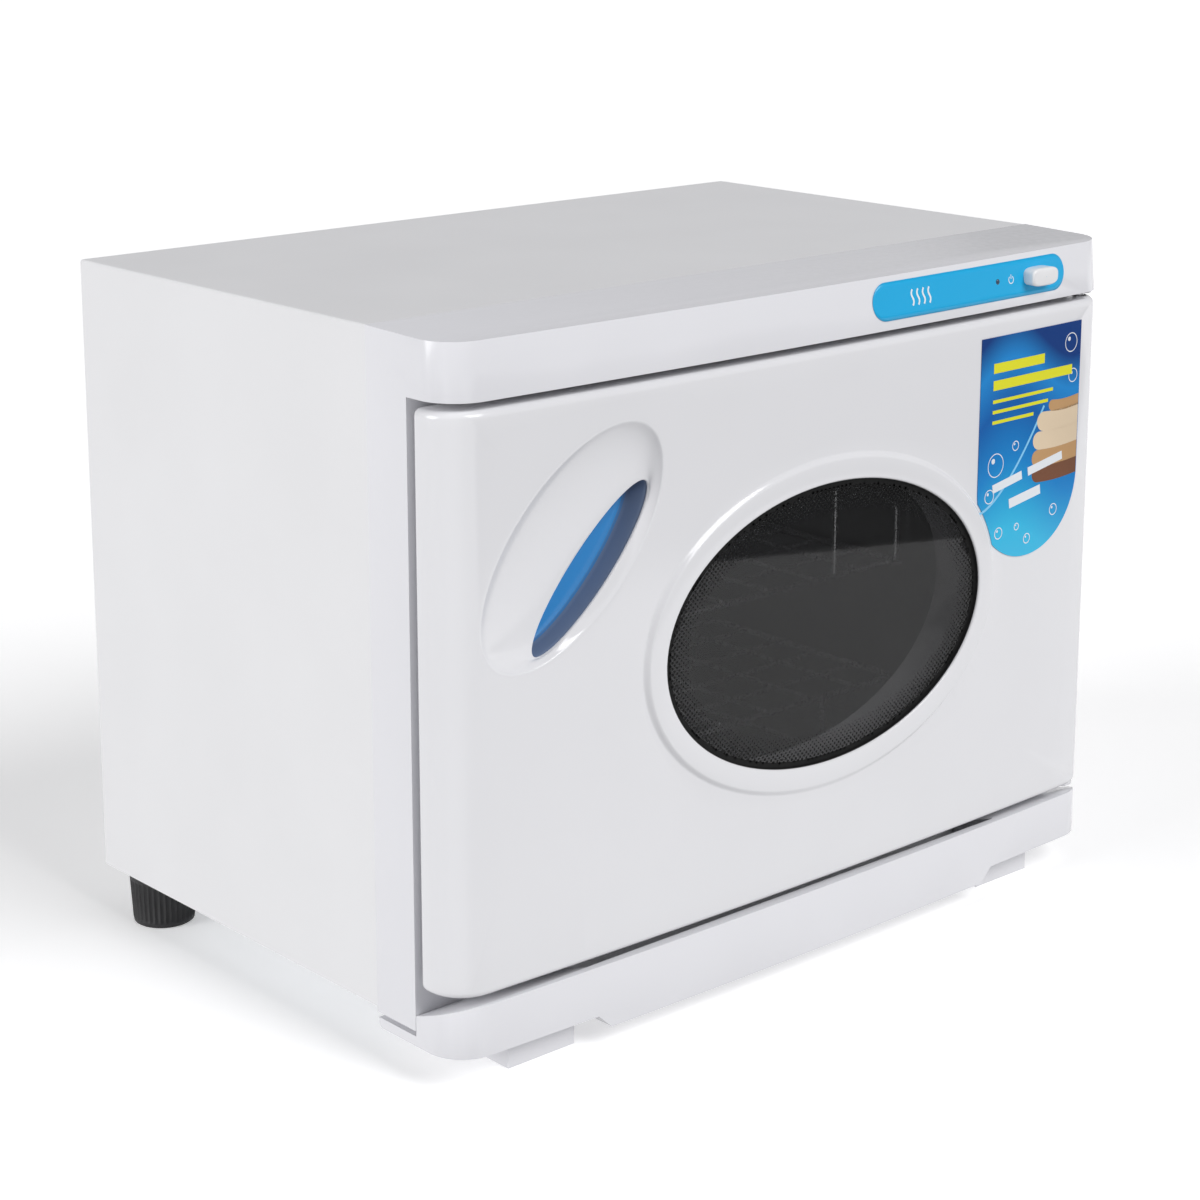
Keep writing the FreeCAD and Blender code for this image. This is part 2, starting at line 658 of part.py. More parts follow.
def make_rack_rails():
    """Two aluminium strips on the liner's sides that the upper rack rests on."""
    rails = []
    low = "rack_high - frame_wire - rail_wall"
    for name, near, far in (("RailLeft", "-chamber_half", "-chamber_half + rail_wide"),
                            ("RailRight", "chamber_half - rail_wide", "chamber_half")):
        rails.append(block(name, (near, far), ("rack_front", "rack_back"), (low, low + " + rail_wall")))
    return joined("RackRails", rails)


def rack_floor(prefix, level):
    """Wire frame and cross wires of one rack, all at one level."""
    wires = []
    depth = "rack_back - rack_front"
    for number, side in enumerate(("-rack_half", "rack_half")):
        wires.append(rod("%sSide%d" % (prefix, number), "y", (side, "rack_front", level), depth,
                         "frame_wire"))
    for number, place in enumerate(("rack_front", "rack_back")):
        wires.append(rod("%sEnd%d" % (prefix, number), "x", ("-rack_half", place, level),
                         "2 * rack_half", "frame_wire"))
    for number in range(1, 5):
        place = "rack_front + (rack_back - rack_front) * %d / 5" % number
        wires.append(rod("%sAcross%d" % (prefix, number), "x", ("-rack_half", place, level),
                         "2 * rack_half", "mesh_wire"))
    for number in range(-4, 5):
        place = "rack_half * %d / 5" % number
        wires.append(rod("%sAlong%d" % (prefix, number + 4), "y", (place, "rack_front", level), depth,
                         "mesh_wire"))
    return wires


def make_upper_rack():
    """Welded wire rack with corner posts, side rims and an open guard at the front."""
    wires = rack_floor("Upper", "rack_high")
    for side_name, side in (("Left", "-"), ("Right", "")):
        for end_name, place in (("Front", "rack_front"), ("Back", "rack_back")):
            wires.append(rod("Post" + side_name + end_name, "z", (side + "rack_half", place, "rack_high"),
                             "post_rise", "frame_wire"))
        wires.append(rod("Rim" + side_name, "y", (side + "rack_half", "rack_front", "rack_high + post_rise"),
                         "rack_back - rack_front", "frame_wire"))
        wires.append(rod("Guard" + side_name, "z", (side + "guard_half", "rack_front", "rack_high"),
                         "guard_rise", "frame_wire"))
    return joined("UpperRack", wires)


def make_lower_rack():
    """Welded wire rack that stands on four wire legs on the chamber's floor."""
    wires = rack_floor("Lower", "rack_low")
    for side_name, side in (("Left", "-"), ("Right", "")):
        for end_name, place in (("Front", "rack_front"), ("Back", "rack_back")):
            wires.append(rod("Leg" + side_name + end_name, "z", (side + "leg_half", place, "chamber_low"),
                             "rack_low - chamber_low", "frame_wire"))
    return joined("LowerRack", wires)


# ---- electrical pieces ------------------------------------------------------------------------

def make_thermostat():
    """Round bimetal switch on the liner's back."""
    return rod("Thermostat", "y", ("0", "liner_back", "chamber_centre"), "thermostat_high",
               "thermostat_radius")


def make_thermal_fuse():
    """Small cylinder fuse beside the thermostat."""
    return rod("ThermalFuse", "y", ("4 * thermostat_radius", "liner_back", "chamber_centre"),
               "thermostat_high", "fuse_radius")


def make_terminal_block():
    """Screw terminals inside the back cover, above the jacket."""
    return block("TerminalBlock",
                 ("button_x - terminal_wide / 2", "button_x + terminal_wide / 2"),
                 ("cover_y - 2 * sheet_wall - terminal_deep", "cover_y - 2 * sheet_wall"),
                 ("terminal_low", "terminal_low + terminal_high"))


def make_switch_lead():
    """Sleeved lead from the switch body back to the terminal block."""
    start = "button_back + button_travel + 2 * terminal_deep"
    return rod("SwitchLead", "y", ("button_x", start, "label_centre"),
               "cover_y - 2 * sheet_wall - terminal_deep - (%s)" % start, "lead_radius")


def make_heater_lead():
    """Sleeved lead from the terminal block down to the heater's corner, clear of the jacket."""
    high = size("terminal_low")
    low = size("chamber_low") - size("liner_wall") - size("insulation_wall") - 2 * size("lead_radius")
    back = size("cover_y") - 2 * size("sheet_wall") - size("lead_radius") - size("panel_wall") / 2
    front = (size("seam_y") + size("liner_back")) / 2
    bend = 3 * size("lead_radius")
    across = size("button_x") - size("terminal_wide") / 4
    path = Part.Wire([
        Part.LineSegment(Vector(across, back, high), Vector(across, back, low + bend)).toShape(),
        Part.Arc(Vector(across, back, low + bend),
                 Vector(across, back - bend * (1 - math.sqrt(0.5)), low + bend * (1 - math.sqrt(0.5))),
                 Vector(across, back - bend, low)).toShape(),
        Part.LineSegment(Vector(across, back - bend, low), Vector(across, front, low)).toShape(),
    ])
    circle = Part.Circle(Vector(across, back, high), Vector(0, 0, 1), size("lead_radius"))
    ring = Part.Wire([circle.toShape()])
    lead = document.addObject("Part::Feature", "HeaterLead")
    lead.Shape = path.makePipeShell([ring], True, False)
    lead.Placement = Placement()
    return lead


def make_cord_grommet():
    """Lipped bush that lines the cord's hole in the back cover."""
    start = "cover_y - 2 * sheet_wall - grommet_lip"
    sleeve = rod("GrommetSleeve", "y", ("grommet_x", start, "grommet_z"),
                 "2 * sheet_wall + 2 * grommet_lip", "cord_radius + grommet_wall")
    lip = rod("GrommetLip", "y", ("grommet_x", "cover_y", "grommet_z"), "grommet_lip",
              "cord_radius + 2 * grommet_wall")
    bore = rod("GrommetBore", "y", ("grommet_x", start, "grommet_z"),
               "2 * sheet_wall + 2 * grommet_lip", "cord_radius")
    return cut("CordGrommet", joined("GrommetBody", [sleeve, lip]), bore)


def make_switch_body():
    """Switch box inside the header, with a blind bore for the button's stem."""
    front = "button_back + button_travel + fit_gap"
    box = block("SwitchBox", ("button_x - button_wide / 2", "button_x + button_wide / 2"),
                (front, "button_back + button_travel + 2 * terminal_deep"),
                ("label_centre - button_high", "label_centre + button_high"))
    bore = rod("StemBore", "y", ("button_x", front, "label_centre"),
               "terminal_deep + button_travel", "stem_radius + fit_gap")
    return cut("SwitchBody", box, bore)


def make_power_button():
    """White push button with its stem reaching into the switch."""
    cap = button_shape("ButtonCap", "0", "button_front", "button_back")
    stem = rod("ButtonStem", "y", ("button_x", "button_back", "label_centre"),
               "terminal_deep", "stem_radius")
    return joined("PowerButton", [cap, stem])


def make_indicator_lens():
    """Small lamp lens that fills its hole in the header and stands just proud of the label."""
    front = "crown_y + front_bow * (lamp_x / half_width) ^ 2 - 2 * film_wall"
    return rod("IndicatorLens", "y", ("lamp_x", front, "label_centre"),
               "mould_wall + 2 * film_wall", "lamp_radius")


# ---- thin printed films -----------------------------------------------------------------------

def bowed_film(name, x_span, z_span):
    """Slab that follows the bowed front, one film thick, in front of the moulding's face."""
    half = size("half_width")
    radius = size("front_radius")
    film = size("film_wall")
    centre = Vector(0, size("crown_y") + radius, size(z_span[0]))
    high = size(z_span[1]) - size(z_span[0])
    outer = Part.makeCylinder(radius + film, high, centre)
    inner = Part.makeCylinder(radius, high, centre)
    left = max(size(x_span[0]), -half)
    window = Part.makeBox(size(x_span[1]) - left, 2 * size("corner_radius"), high,
                          Vector(left, size("crown_y") - film, size(z_span[0])))
    feature = document.addObject("Part::Feature", name)
    feature.Shape = outer.cut(inner).common(window)
    feature.Placement = Placement()
    return feature


def make_control_label():
    """Blue film with round ends on the header, pierced by the button and the lamp."""
    radius = "label_high / 2"
    front = "crown_y - front_bow"
    length = "3 * front_bow"
    outline = joined("LabelOutline", [
        rod("LabelLeft", "y", ("label_x + " + radius, front, "label_centre"), length, radius),
        rod("LabelRight", "y", ("label_end - " + radius, front, "label_centre"), length, radius),
        block("LabelMiddle", ("label_x + " + radius, "label_end - " + radius),
              (front, front + " + " + length),
              ("label_centre - " + radius, "label_centre + " + radius)),
    ])
    film = bowed_film("LabelFilm", ("label_x", "label_end"), ("header_low", "overall_height"))
    holes = [button_shape("LabelButtonHole", "fit_gap", front, "boss_back"),
             rod("LabelLampHole", "y", ("lamp_x", front, "label_centre"), length, "lamp_radius")]
    return cut_all("ControlLabel", common("LabelShape", film, outline), holes)


def make_door_label():
    """Printed film on the door: square top corners and round bottom corners."""
    front = "crown_y - front_bow"
    back = "crown_y + 2 * front_bow"
    shoulder = "art_low + art_radius"
    length = "3 * front_bow"
    outline = joined("ArtOutline", [
        block("ArtTop", ("art_left", "art_right"), (front, back), (shoulder, "art_high")),
        block("ArtMiddle", ("art_left + art_radius", "art_right - art_radius"), (front, back),
              ("art_low", shoulder)),
        rod("ArtLeft", "y", ("art_left + art_radius", front, shoulder), length, "art_radius"),
        rod("ArtRight", "y", ("art_right - art_radius", front, shoulder), length, "art_radius"),
    ])
    film = bowed_film("ArtFilm", ("art_left", "art_right"), ("art_low", "art_high"))
    clear = "ring_width + art_gap"
    ring = oval("ArtRing", ("window_x", "window_z"), ("window_major + " + clear, "window_minor + " + clear),
                0, (front, back))
    return cut("DoorLabel", common("ArtShape", film, outline), ring)


# ---- door -------------------------------------------------------------------------------------

def make_door_outer_panel():
    """Moulded door skin: bowed face, raised ring round the window's hole, grip's hole, hinge bosses."""
    body = new_body("DoorShell")
    pad_bowed(body, "DoorBlock", "door_back", ("door_low", "door_high"))
    pocket_bowed(body, "DoorHollow", "mould_wall", "door_back",
                 ("door_low + mould_wall", "door_high - mould_wall"))
    half = size("half_width")
    wall = size("mould_wall")
    side = bowed_side(wall)
    back = size("door_back")
    round_edges(body, "DoorHollowCorners", "corner_radius - mould_wall", ALONG_Z,
                [(half - wall, side), (wall - half, side)])
    side = bowed_side(0)
    round_edges(body, "DoorCorners", "corner_radius", ALONG_Z, [(half, side), (-half, side)])
    round_edges(body, "DoorBackCorners", "door_edge_radius", ALONG_Z, [(half, back), (-half, back)])
    window = ("window_x", "window_z")
    ring = oval("WindowRing", window, ("window_major + ring_width", "window_minor + ring_width"), 0,
                ("crown_y - ring_rise", "sleeve_front"))
    skin = joined("DoorSkin", [body, ring] + hinge_rods("HingeBoss", "hinge_boss"))
    length = "pin_reach + 2 * fit_gap"
    hole_x = ("hinge_x", "hinge_y")
    tools = [
        oval("WindowHole", window, ("window_major + gasket_wall", "window_minor + gasket_wall"), 0,
             ("crown_y - 2 * ring_rise", "door_back")),
        grip_outline("GripHole"),
        rod("UpperBushHole", "z", hole_x + ("door_high - pin_reach - fit_gap",), length, "bush_radius"),
        rod("LowerBushHole", "z", hole_x + ("door_low - fit_gap",), length, "bush_radius"),
    ]
    return cut_all("DoorOuterPanel", skin, tools)


def hinge_rods(name, radius):
    """Upright rods on the hinge axis, one at the door's top and one at its bottom."""
    length = "pin_reach - panel_wall"
    return [rod("Upper" + name, "z", ("hinge_x", "hinge_y", "door_high - pin_reach"), length, radius),
            rod("Lower" + name, "z", ("hinge_x", "hinge_y", "door_low + panel_wall"), length, radius)]


def grip_outline(name):
    """Oval prism of the finger grip's outside, from in front of the door to its own back."""
    return oval(name, ("dish_x", "dish_z"), ("dish_major + mould_wall", "dish_minor + mould_wall"),
                size("dish_angle"), ("crown_y - fit_gap", "boss_back"))


def make_handle_dish():
    """White oval insert, flush with the bowed door: a scooped finger dish with a slanted slot."""
    body = new_body("GripBlock")
    pad_bowed(body, "GripFace", "door_back", ("door_low", "door_high"))
    half = size("half_width")
    round_edges(body, "GripFaceCorners", "corner_radius", ALONG_Z,
                [(half, bowed_side(0)), (-half, bowed_side(0))])
    slot = oval("GripSlot", ("cup_x", "cup_z"), ("cup_major", "cup_minor"), size("cup_angle"),
                ("crown_y - fit_gap", "boss_back + fit_gap"))
    return cut_all("HandleDish", common("GripInsert", body, grip_outline("GripOutside")),
                   [dish_shape(), slot])


def dish_shape():
    """Ellipsoid whose cap scoops the oval finger dish out of the door's face."""
    scoop = document.addObject("Part::Ellipsoid", "Dish")
    turn = Rotation(Vector(1, 0, 0), 90).multiply(Rotation(Vector(0, 0, 1), size("dish_angle")))
    scoop.Placement = Placement(Vector(), turn)
    face = "(crown_y + front_bow * (dish_x / half_width) ^ 2)"
    spread = "sqrt(1 - ((dish_ball - dish_depth) / dish_ball) ^ 2)"
    bind(scoop, {
        "Radius1": "dish_ball",
        "Radius2": "dish_major / " + spread,
        "Radius3": "dish_minor / " + spread,
        "Placement.Base.x": "dish_x",
        "Placement.Base.y": face + " - dish_ball + dish_depth",
        "Placement.Base.z": "dish_z",
    })
    return scoop


def make_handle_cup():
    """Blue finger cup behind the dish's slot, closed by its own floor."""
    centre = ("cup_x", "cup_z")
    outer = oval("CupOuter", centre, ("cup_major + cup_wall", "cup_minor + cup_wall"),
                 size("cup_angle"), ("boss_back", "cup_back"))
    inner = oval("CupInner", centre, ("cup_major", "cup_minor"), size("cup_angle"),
                 ("boss_back - fit_gap", "cup_back - cup_wall"))
    return cut("HandleCup", outer, inner)


def sleeve_outline(name, extra, y_span):
    """Oval prism round the window's gasket, grown by an extra wall."""
    return oval(name, ("window_x", "window_z"),
                ("window_major + gasket_wall + " + extra, "window_minor + gasket_wall + " + extra), 0,
                y_span)


def make_door_inner_panel():
    """Flat back of the door, with an oval hole for the window's sleeve, clear of the hinge bosses."""
    edge = "(mould_wall + fit_gap)"
    plate = block("InnerPlate", ("-half_width + " + edge, "half_width - " + edge),
                  ("door_back - panel_wall", "door_back"),
                  ("door_low + mould_wall", "door_high - mould_wall"))
    hole = sleeve_outline("SleeveHole", "panel_wall", ("crown_y", "door_back + fit_gap"))
    return cut_all("DoorInnerPanel", plate, [hole] + hinge_rods("BossRoom", "hinge_boss + fit_gap"))


def make_window_sleeve():
    """Moulded oval sleeve between the door's two skins, which carries the gasket."""
    outer = sleeve_outline("SleeveOuter", "panel_wall", ("sleeve_front", "door_back"))
    inner = sleeve_outline("SleeveInner", "0", ("crown_y", "door_back + fit_gap"))
    return cut("WindowSleeve", outer, inner)


def glass_back():
    """Where the window glass ends, measured from the front."""
    return "glass_y + glass_wall"


def glass_shape(name):
    """Oval plate whose edge sits in the gasket's groove."""
    return oval(name, ("window_x", "window_z"), ("window_major + glass_bite", "window_minor + glass_bite"),
                0, ("glass_y", glass_back()))


def make_window_gasket():
    """Black rubber channel round the glass, held in the door's oval hole."""
    window = ("window_x", "window_z")
    span = ("glass_y - gasket_lip", glass_back() + " + gasket_lip")
    outer = oval("GasketOuter", window, ("window_major + gasket_wall", "window_minor + gasket_wall"), 0,
                 span)
    opening = oval("GasketOpening", window, ("window_major", "window_minor"), 0, span)
    return cut_all("WindowGasket", outer, [opening, glass_shape("GasketGroove")])


def make_door_seal():
    """Soft rectangular seal on the back of the door."""
    y_span = ("door_back", "stile_y - fit_gap")
    near = "chamber_half + seal_inset"
    far = "chamber_half + seal_inset + seal_wide"
    low = "chamber_low - seal_inset"
    high = "chamber_high + seal_inset"
    return cut("DoorSeal",
               block("SealOuter", ("-(%s)" % far, far), y_span, (low + " - seal_wide / 2",
                                                                 high + " + seal_wide / 2")),
               block("SealInner", ("-(%s)" % near, near), y_span, (low + " + seal_wide / 2",
                                                                   high + " - seal_wide / 2")))


def make_strike_plate():
    """Steel plate on the door's back that the magnet holds."""
    return block("StrikePlate", ("catch_x - catch_wide / 2", "catch_x + catch_wide / 2"),
                 ("door_back", "door_back + strike_wall"),
                 ("chamber_centre - catch_high / 2", "chamber_centre + catch_high / 2"))


def make_magnet_catch():
    """Magnet set flush in the frame's left stile."""
    return block("MagnetCatch", ("catch_x - catch_wide / 2", "catch_x + catch_wide / 2"),
                 ("stile_y", "stile_y + catch_depth"),
                 ("chamber_centre - catch_high / 2", "chamber_centre + catch_high / 2"))


# ---- hinges -----------------------------------------------------------------------------------

def make_upper_hinge_plate():
    """Plate screwed under the header: it holds the upper pin."""
    plate = plate_shape("UpperPlate", "stile_y", ("header_low - hinge_plate", "header_low"))
    return cut("UpperHingePlate", plate, upper_hinge_screws)


def make_lower_hinge_plate():
    """Plate that carries the lower pin, screwed to a boss inside the frame."""
    return cut("LowerHingePlate", lower_plate_shape("LowerPlate"), lower_hinge_screw)


def pin_span(which):
    """Where a pin starts, and how long it is: from its plate into the door's bush."""
    reach = "(pin_reach - panel_wall)"
    if which == "upper":
        start = "door_high - " + reach
        return start, "header_low - hinge_plate - (%s)" % start
    start = "door_low - door_gap / 2 + hinge_plate / 2"
    return start, "door_low + %s - (%s)" % (reach, start)


def make_hinge_pins():
    """Two upright steel pins on the door's turning axis."""
    pins = []
    for which in ("upper", "lower"):
        start, length = pin_span(which)
        pins.append(rod("Pin" + which, "z", ("hinge_x", "hinge_y", start), length, "pin_radius"))
    return joined("HingePins", pins)


def make_hinge_bushes():
    """Two nylon bushes pressed into the door, a running fit on the pins."""
    bushes = []
    spans = {"upper": "door_high - pin_reach", "lower": "door_low"}
    for which, start in spans.items():
        place = ("hinge_x", "hinge_y", start)
        outer = rod("Bush" + which, "z", place, "pin_reach", "bush_radius")
        bore = rod("BushBore" + which, "z", place, "pin_reach", "pin_radius + running_gap")
        bushes.append(cut("BushRing" + which, outer, bore))
    return joined("HingeBushes", bushes)


# ---- drip tray and feet -----------------------------------------------------------------------

def make_drip_tray():
    """Moulded trough under the door: a deep middle, and side lugs that run back under the frame."""
    body = new_body("TrayBody")
    pad_bowed(body, "TrayBlock", "tray_back", ("tray_low", "tray_front"))
    half = size("half_width")
    round_edges(body, "TrayCorners", "corner_radius", ALONG_Z,
                [(half, bowed_side(0)), (-half, bowed_side(0))])
    for name, side in (("TrayUnderLeft", "-"), ("TrayUnderRight", "")):
        sketch = new_sketch(body, name + "_sketch", "XZ_Plane", "-(tray_back + fit_gap)")
        lip = side + "tray_lip_half"
        run = side + "(tray_lip_half + tray_lip_run)"
        out = side + "(half_width + mould_wall)"
        draw_outline(sketch, [(lip, "tray_low - fit_gap"), (lip, "tray_low"), (run, "tray_side"),
                              (out, "tray_side"), (out, "tray_low - fit_gap")])
        pocket(body, name, sketch, "bezel_depth + front_bow")
    outer_x = ("-half_width - fit_gap", "half_width + fit_gap")
    pocket_box(body, "TrayNotch", outer_x, ("stile_y - fit_gap", "tray_back"),
               ("tray_notch", "tray_front"))
    sketch = new_sketch(body, "TraySlope_sketch", "YZ_Plane", "-half_width - fit_gap")
    draw_outline(sketch, [("crown_y + 2 * mould_wall", "tray_front"), ("stile_y", "tray_step"),
                          ("stile_y", "tray_front")])
    pocket(body, "TraySlope", sketch, "overall_width + 2 * fit_gap")
    back = size("tray_back")
    round_edges(body, "TrayHeel", "mould_wall", ALONG_X, [(back, size("tray_side"))])
    rear = ("crown_y + 2 * mould_wall", "tray_back - mould_wall")
    pocket_box(body, "Trough", ("-trough_half", "trough_half"), rear,
               ("tray_side + panel_wall", "tray_front"))
    pocket_box(body, "TroughMiddle", ("-tray_lip_half + mould_wall", "tray_lip_half - mould_wall"), rear,
               ("tray_floor", "tray_side + 2 * panel_wall"))
    return body


def make_front_foot(name, side):
    """White foot: its toe lies under the tray, and its heel rises to the base plate."""
    span = (side + "front_foot_in", side + "front_foot_out")
    if side:
        span = (span[1], span[0])
    toe = block(name + "Toe", span, ("foot_front", "seam_y + front_foot_end"),
                ("0", "tray_side - fit_gap"))
    heel = block(name + "Heel", span, ("seam_y + fit_gap", "seam_y + front_foot_end"),
                 ("0", "case_floor"))
    return cut(name, joined(name + "Block", [toe, heel]), foot_screws)


def make_rear_foot(name, side):
    """Black rubber foot, slightly narrower at the ground."""
    cone = document.addObject("Part::Cone", name + "Cone")
    bind(cone, {
        "Radius1": "rear_foot_end", "Radius2": "rear_foot_top", "Height": "case_floor",
        "Placement.Base.x": side + "rear_foot_x", "Placement.Base.y": "rear_foot_y",
    })
    return cut(name, cone, foot_screws)


# ---- assembly ---------------------------------------------------------------------------------

finish(make_outer_case(), "outer_case")
finish(make_rear_cover(), "rear_cover")
finish(make_base_plate(), "base_plate")
finish(make_front_frame(), "front_frame")
finish(make_inner_liner(), "inner_liner")
finish(make_insulation(), "insulation_jacket")
finish(heater_shape("HeaterPlate"), "heater_plate")
finish(make_rack_rails(), "rack_rails")
finish(make_upper_rack(), "upper_rack")
finish(make_lower_rack(), "lower_rack")
finish(make_thermostat(), "thermostat")
finish(make_thermal_fuse(), "thermal_fuse")
finish(make_terminal_block(), "terminal_block")
finish(make_switch_lead(), "switch_lead")
finish(make_heater_lead(), "heater_lead")
finish(make_cord_grommet(), "cord_grommet")
finish(make_switch_body(), "switch_body")
finish(make_power_button(), "power_button")
finish(make_indicator_lens(), "indicator_lens")
finish(make_control_label(), "control_label")
finish(make_door_outer_panel(), "door_outer_panel")
finish(make_door_inner_panel(), "door_inner_panel")
finish(make_window_sleeve(), "window_sleeve")
finish(glass_shape("WindowGlass"), "window_glass")
finish(make_window_gasket(), "window_gasket")
finish(make_handle_dish(), "handle_dish")
finish(make_handle_cup(), "handle_cup")
finish(make_door_seal(), "door_seal")
finish(make_door_label(), "door_label")
finish(make_strike_plate(), "strike_plate")
finish(make_magnet_catch(), "magnet_catch")
finish(make_upper_hinge_plate(), "upper_hinge_plate")
finish(make_lower_hinge_plate(), "lower_hinge_plate")
finish(make_hinge_pins(), "hinge_pins")
finish(make_hinge_bushes(), "hinge_bushes")
finish(make_drip_tray(), "drip_tray")
finish(make_front_foot("FrontFootLeft", "-"), "front_foot_left")
finish(make_front_foot("FrontFootRight", ""), "front_foot_right")
finish(make_rear_foot("RearFootLeft", "-"), "rear_foot_left")
finish(make_rear_foot("RearFootRight", ""), "rear_foot_right")
finish(cover_screws, "cover_screws")
finish(foot_screws, "foot_screws")
finish(upper_hinge_screws, "upper_hinge_screws")
finish(lower_hinge_screw, "lower_hinge_screw")

document.recompute()

for item in document.Objects:
    if "Invalid" in item.State or "Error" in item.State:
        raise RuntimeError("%s failed: %s" % (item.Label, item.State))

os.makedirs("parts", exist_ok=True)
for part in parts:
    if part.Shape.isNull() or not part.Shape.isValid():
        raise RuntimeError("%s has no valid shape" % part.Label)
    part.Shape.exportStep("parts/%s.step" % part.Label)
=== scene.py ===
import math

import bmesh
import bpy
import numpy as np
from mathutils import Matrix, Vector


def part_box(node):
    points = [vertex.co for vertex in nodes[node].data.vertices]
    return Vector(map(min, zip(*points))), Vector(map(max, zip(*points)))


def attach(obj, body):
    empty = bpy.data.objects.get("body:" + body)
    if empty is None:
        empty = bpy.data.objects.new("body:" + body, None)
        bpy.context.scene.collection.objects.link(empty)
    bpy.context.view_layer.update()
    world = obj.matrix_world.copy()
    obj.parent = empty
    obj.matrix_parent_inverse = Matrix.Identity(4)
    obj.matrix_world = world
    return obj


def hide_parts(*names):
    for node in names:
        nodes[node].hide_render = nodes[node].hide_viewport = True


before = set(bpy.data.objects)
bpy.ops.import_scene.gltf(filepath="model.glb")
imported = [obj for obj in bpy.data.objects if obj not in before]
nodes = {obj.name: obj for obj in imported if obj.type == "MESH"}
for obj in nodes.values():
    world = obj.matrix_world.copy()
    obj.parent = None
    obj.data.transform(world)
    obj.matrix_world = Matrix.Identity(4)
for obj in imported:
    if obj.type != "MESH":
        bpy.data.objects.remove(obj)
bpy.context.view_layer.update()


# ==== Outer case, back cover and floor =========================================================
# The case is one folded steel wrap, the back cover and the floor are flat sheets. The wrap and the
# cover are sprayed with white powder paint, which cures with a fine orange peel; the floor is bare
# zinc-plated sheet.

def start_finish(name):
    """A new node material with its tree and its shader."""
    material = bpy.data.materials.new(name)
    material.use_nodes = True
    tree = material.node_tree
    return material, tree, tree.nodes["Principled BSDF"]


def grain(tree, scale, stretch=(1, 1, 1), detail=3.0):
    """Noise over the object's own coordinates; the stretch turns it into streaks along an axis."""
    place = tree.nodes.new("ShaderNodeTexCoord")
    mapping = tree.nodes.new("ShaderNodeMapping")
    mapping.inputs["Scale"].default_value = stretch
    noise = tree.nodes.new("ShaderNodeTexNoise")
    noise.inputs["Scale"].default_value = scale
    noise.inputs["Detail"].default_value = detail
    tree.links.new(place.outputs["Object"], mapping.inputs["Vector"])
    tree.links.new(mapping.outputs["Vector"], noise.inputs["Vector"])
    return noise.outputs["Fac"]


def shade_between(tree, value, low, high, low_place=0.3, high_place=0.7):
    """Colour that runs from low to high as the value passes between two places."""
    ramp = tree.nodes.new("ShaderNodeValToRGB")
    ramp.color_ramp.elements[0].position = low_place
    ramp.color_ramp.elements[0].color = (*low, 1)
    ramp.color_ramp.elements[1].position = high_place
    ramp.color_ramp.elements[1].color = (*high, 1)
    tree.links.new(value, ramp.inputs["Fac"])
    return ramp.outputs["Color"]


def roughen(tree, shader, value, low, high):
    """Roughness that runs from low to high with the value."""
    spread = tree.nodes.new("ShaderNodeMapRange")
    spread.inputs["To Min"].default_value = low
    spread.inputs["To Max"].default_value = high
    tree.links.new(value, spread.inputs["Value"])
    tree.links.new(spread.outputs["Result"], shader.inputs["Roughness"])


def emboss(tree, shader, height, depth):
    """Bump of the given depth, in metres, from a height between 0 and 1."""
    bump = tree.nodes.new("ShaderNodeBump")
    bump.inputs["Distance"].default_value = depth
    bump.inputs["Strength"].default_value = 0.6
    tree.links.new(height, bump.inputs["Height"])
    tree.links.new(bump.outputs["Normal"], shader.inputs["Normal"])


def worked_finish(name, colour, spread, rough, peel_scale, peel_depth, stretch=(1, 1, 1), metal=0.0):
    """Finish whose colour drifts slowly by a share, with a fine peel or grain in its surface."""
    material, tree, shader = start_finish(name)
    drift = grain(tree, 14, detail=2)
    low = tuple(part * (1 - spread) for part in colour)
    high = tuple(min(1, part * (1 + spread)) for part in colour)
    tree.links.new(shade_between(tree, drift, low, high), shader.inputs["Base Color"])
    fine = grain(tree, peel_scale, stretch)
    roughen(tree, shader, fine, rough[0], rough[1])
    emboss(tree, shader, fine, peel_depth)
    shader.inputs["Metallic"].default_value = metal
    return material


def give(name, material):
    """Put one material on a CAD node."""
    slots = nodes[name].data.materials
    slots.clear()
    slots.append(material)


case_paint = worked_finish("case_paint", (0.82, 0.82, 0.83), 0.012, (0.34, 0.46), 900, 0.00004)
zinc_sheet = worked_finish("zinc_sheet", (0.55, 0.57, 0.60), 0.10, (0.30, 0.50), 120, 0.00003, metal=1.0)
give("outer_case", case_paint)
give("rear_cover", case_paint)
give("base_plate", zinc_sheet)


# ==== Moulded front frame ======================================================================
# One white injection moulding: a header that overhangs the door, and a ring round the chamber's
# mouth. Its edges are softened in the mould, and the header leans back and droops a little.

white_moulding = worked_finish("white_moulding", (0.80, 0.80, 0.83), 0.010, (0.17, 0.25), 260, 0.00003)


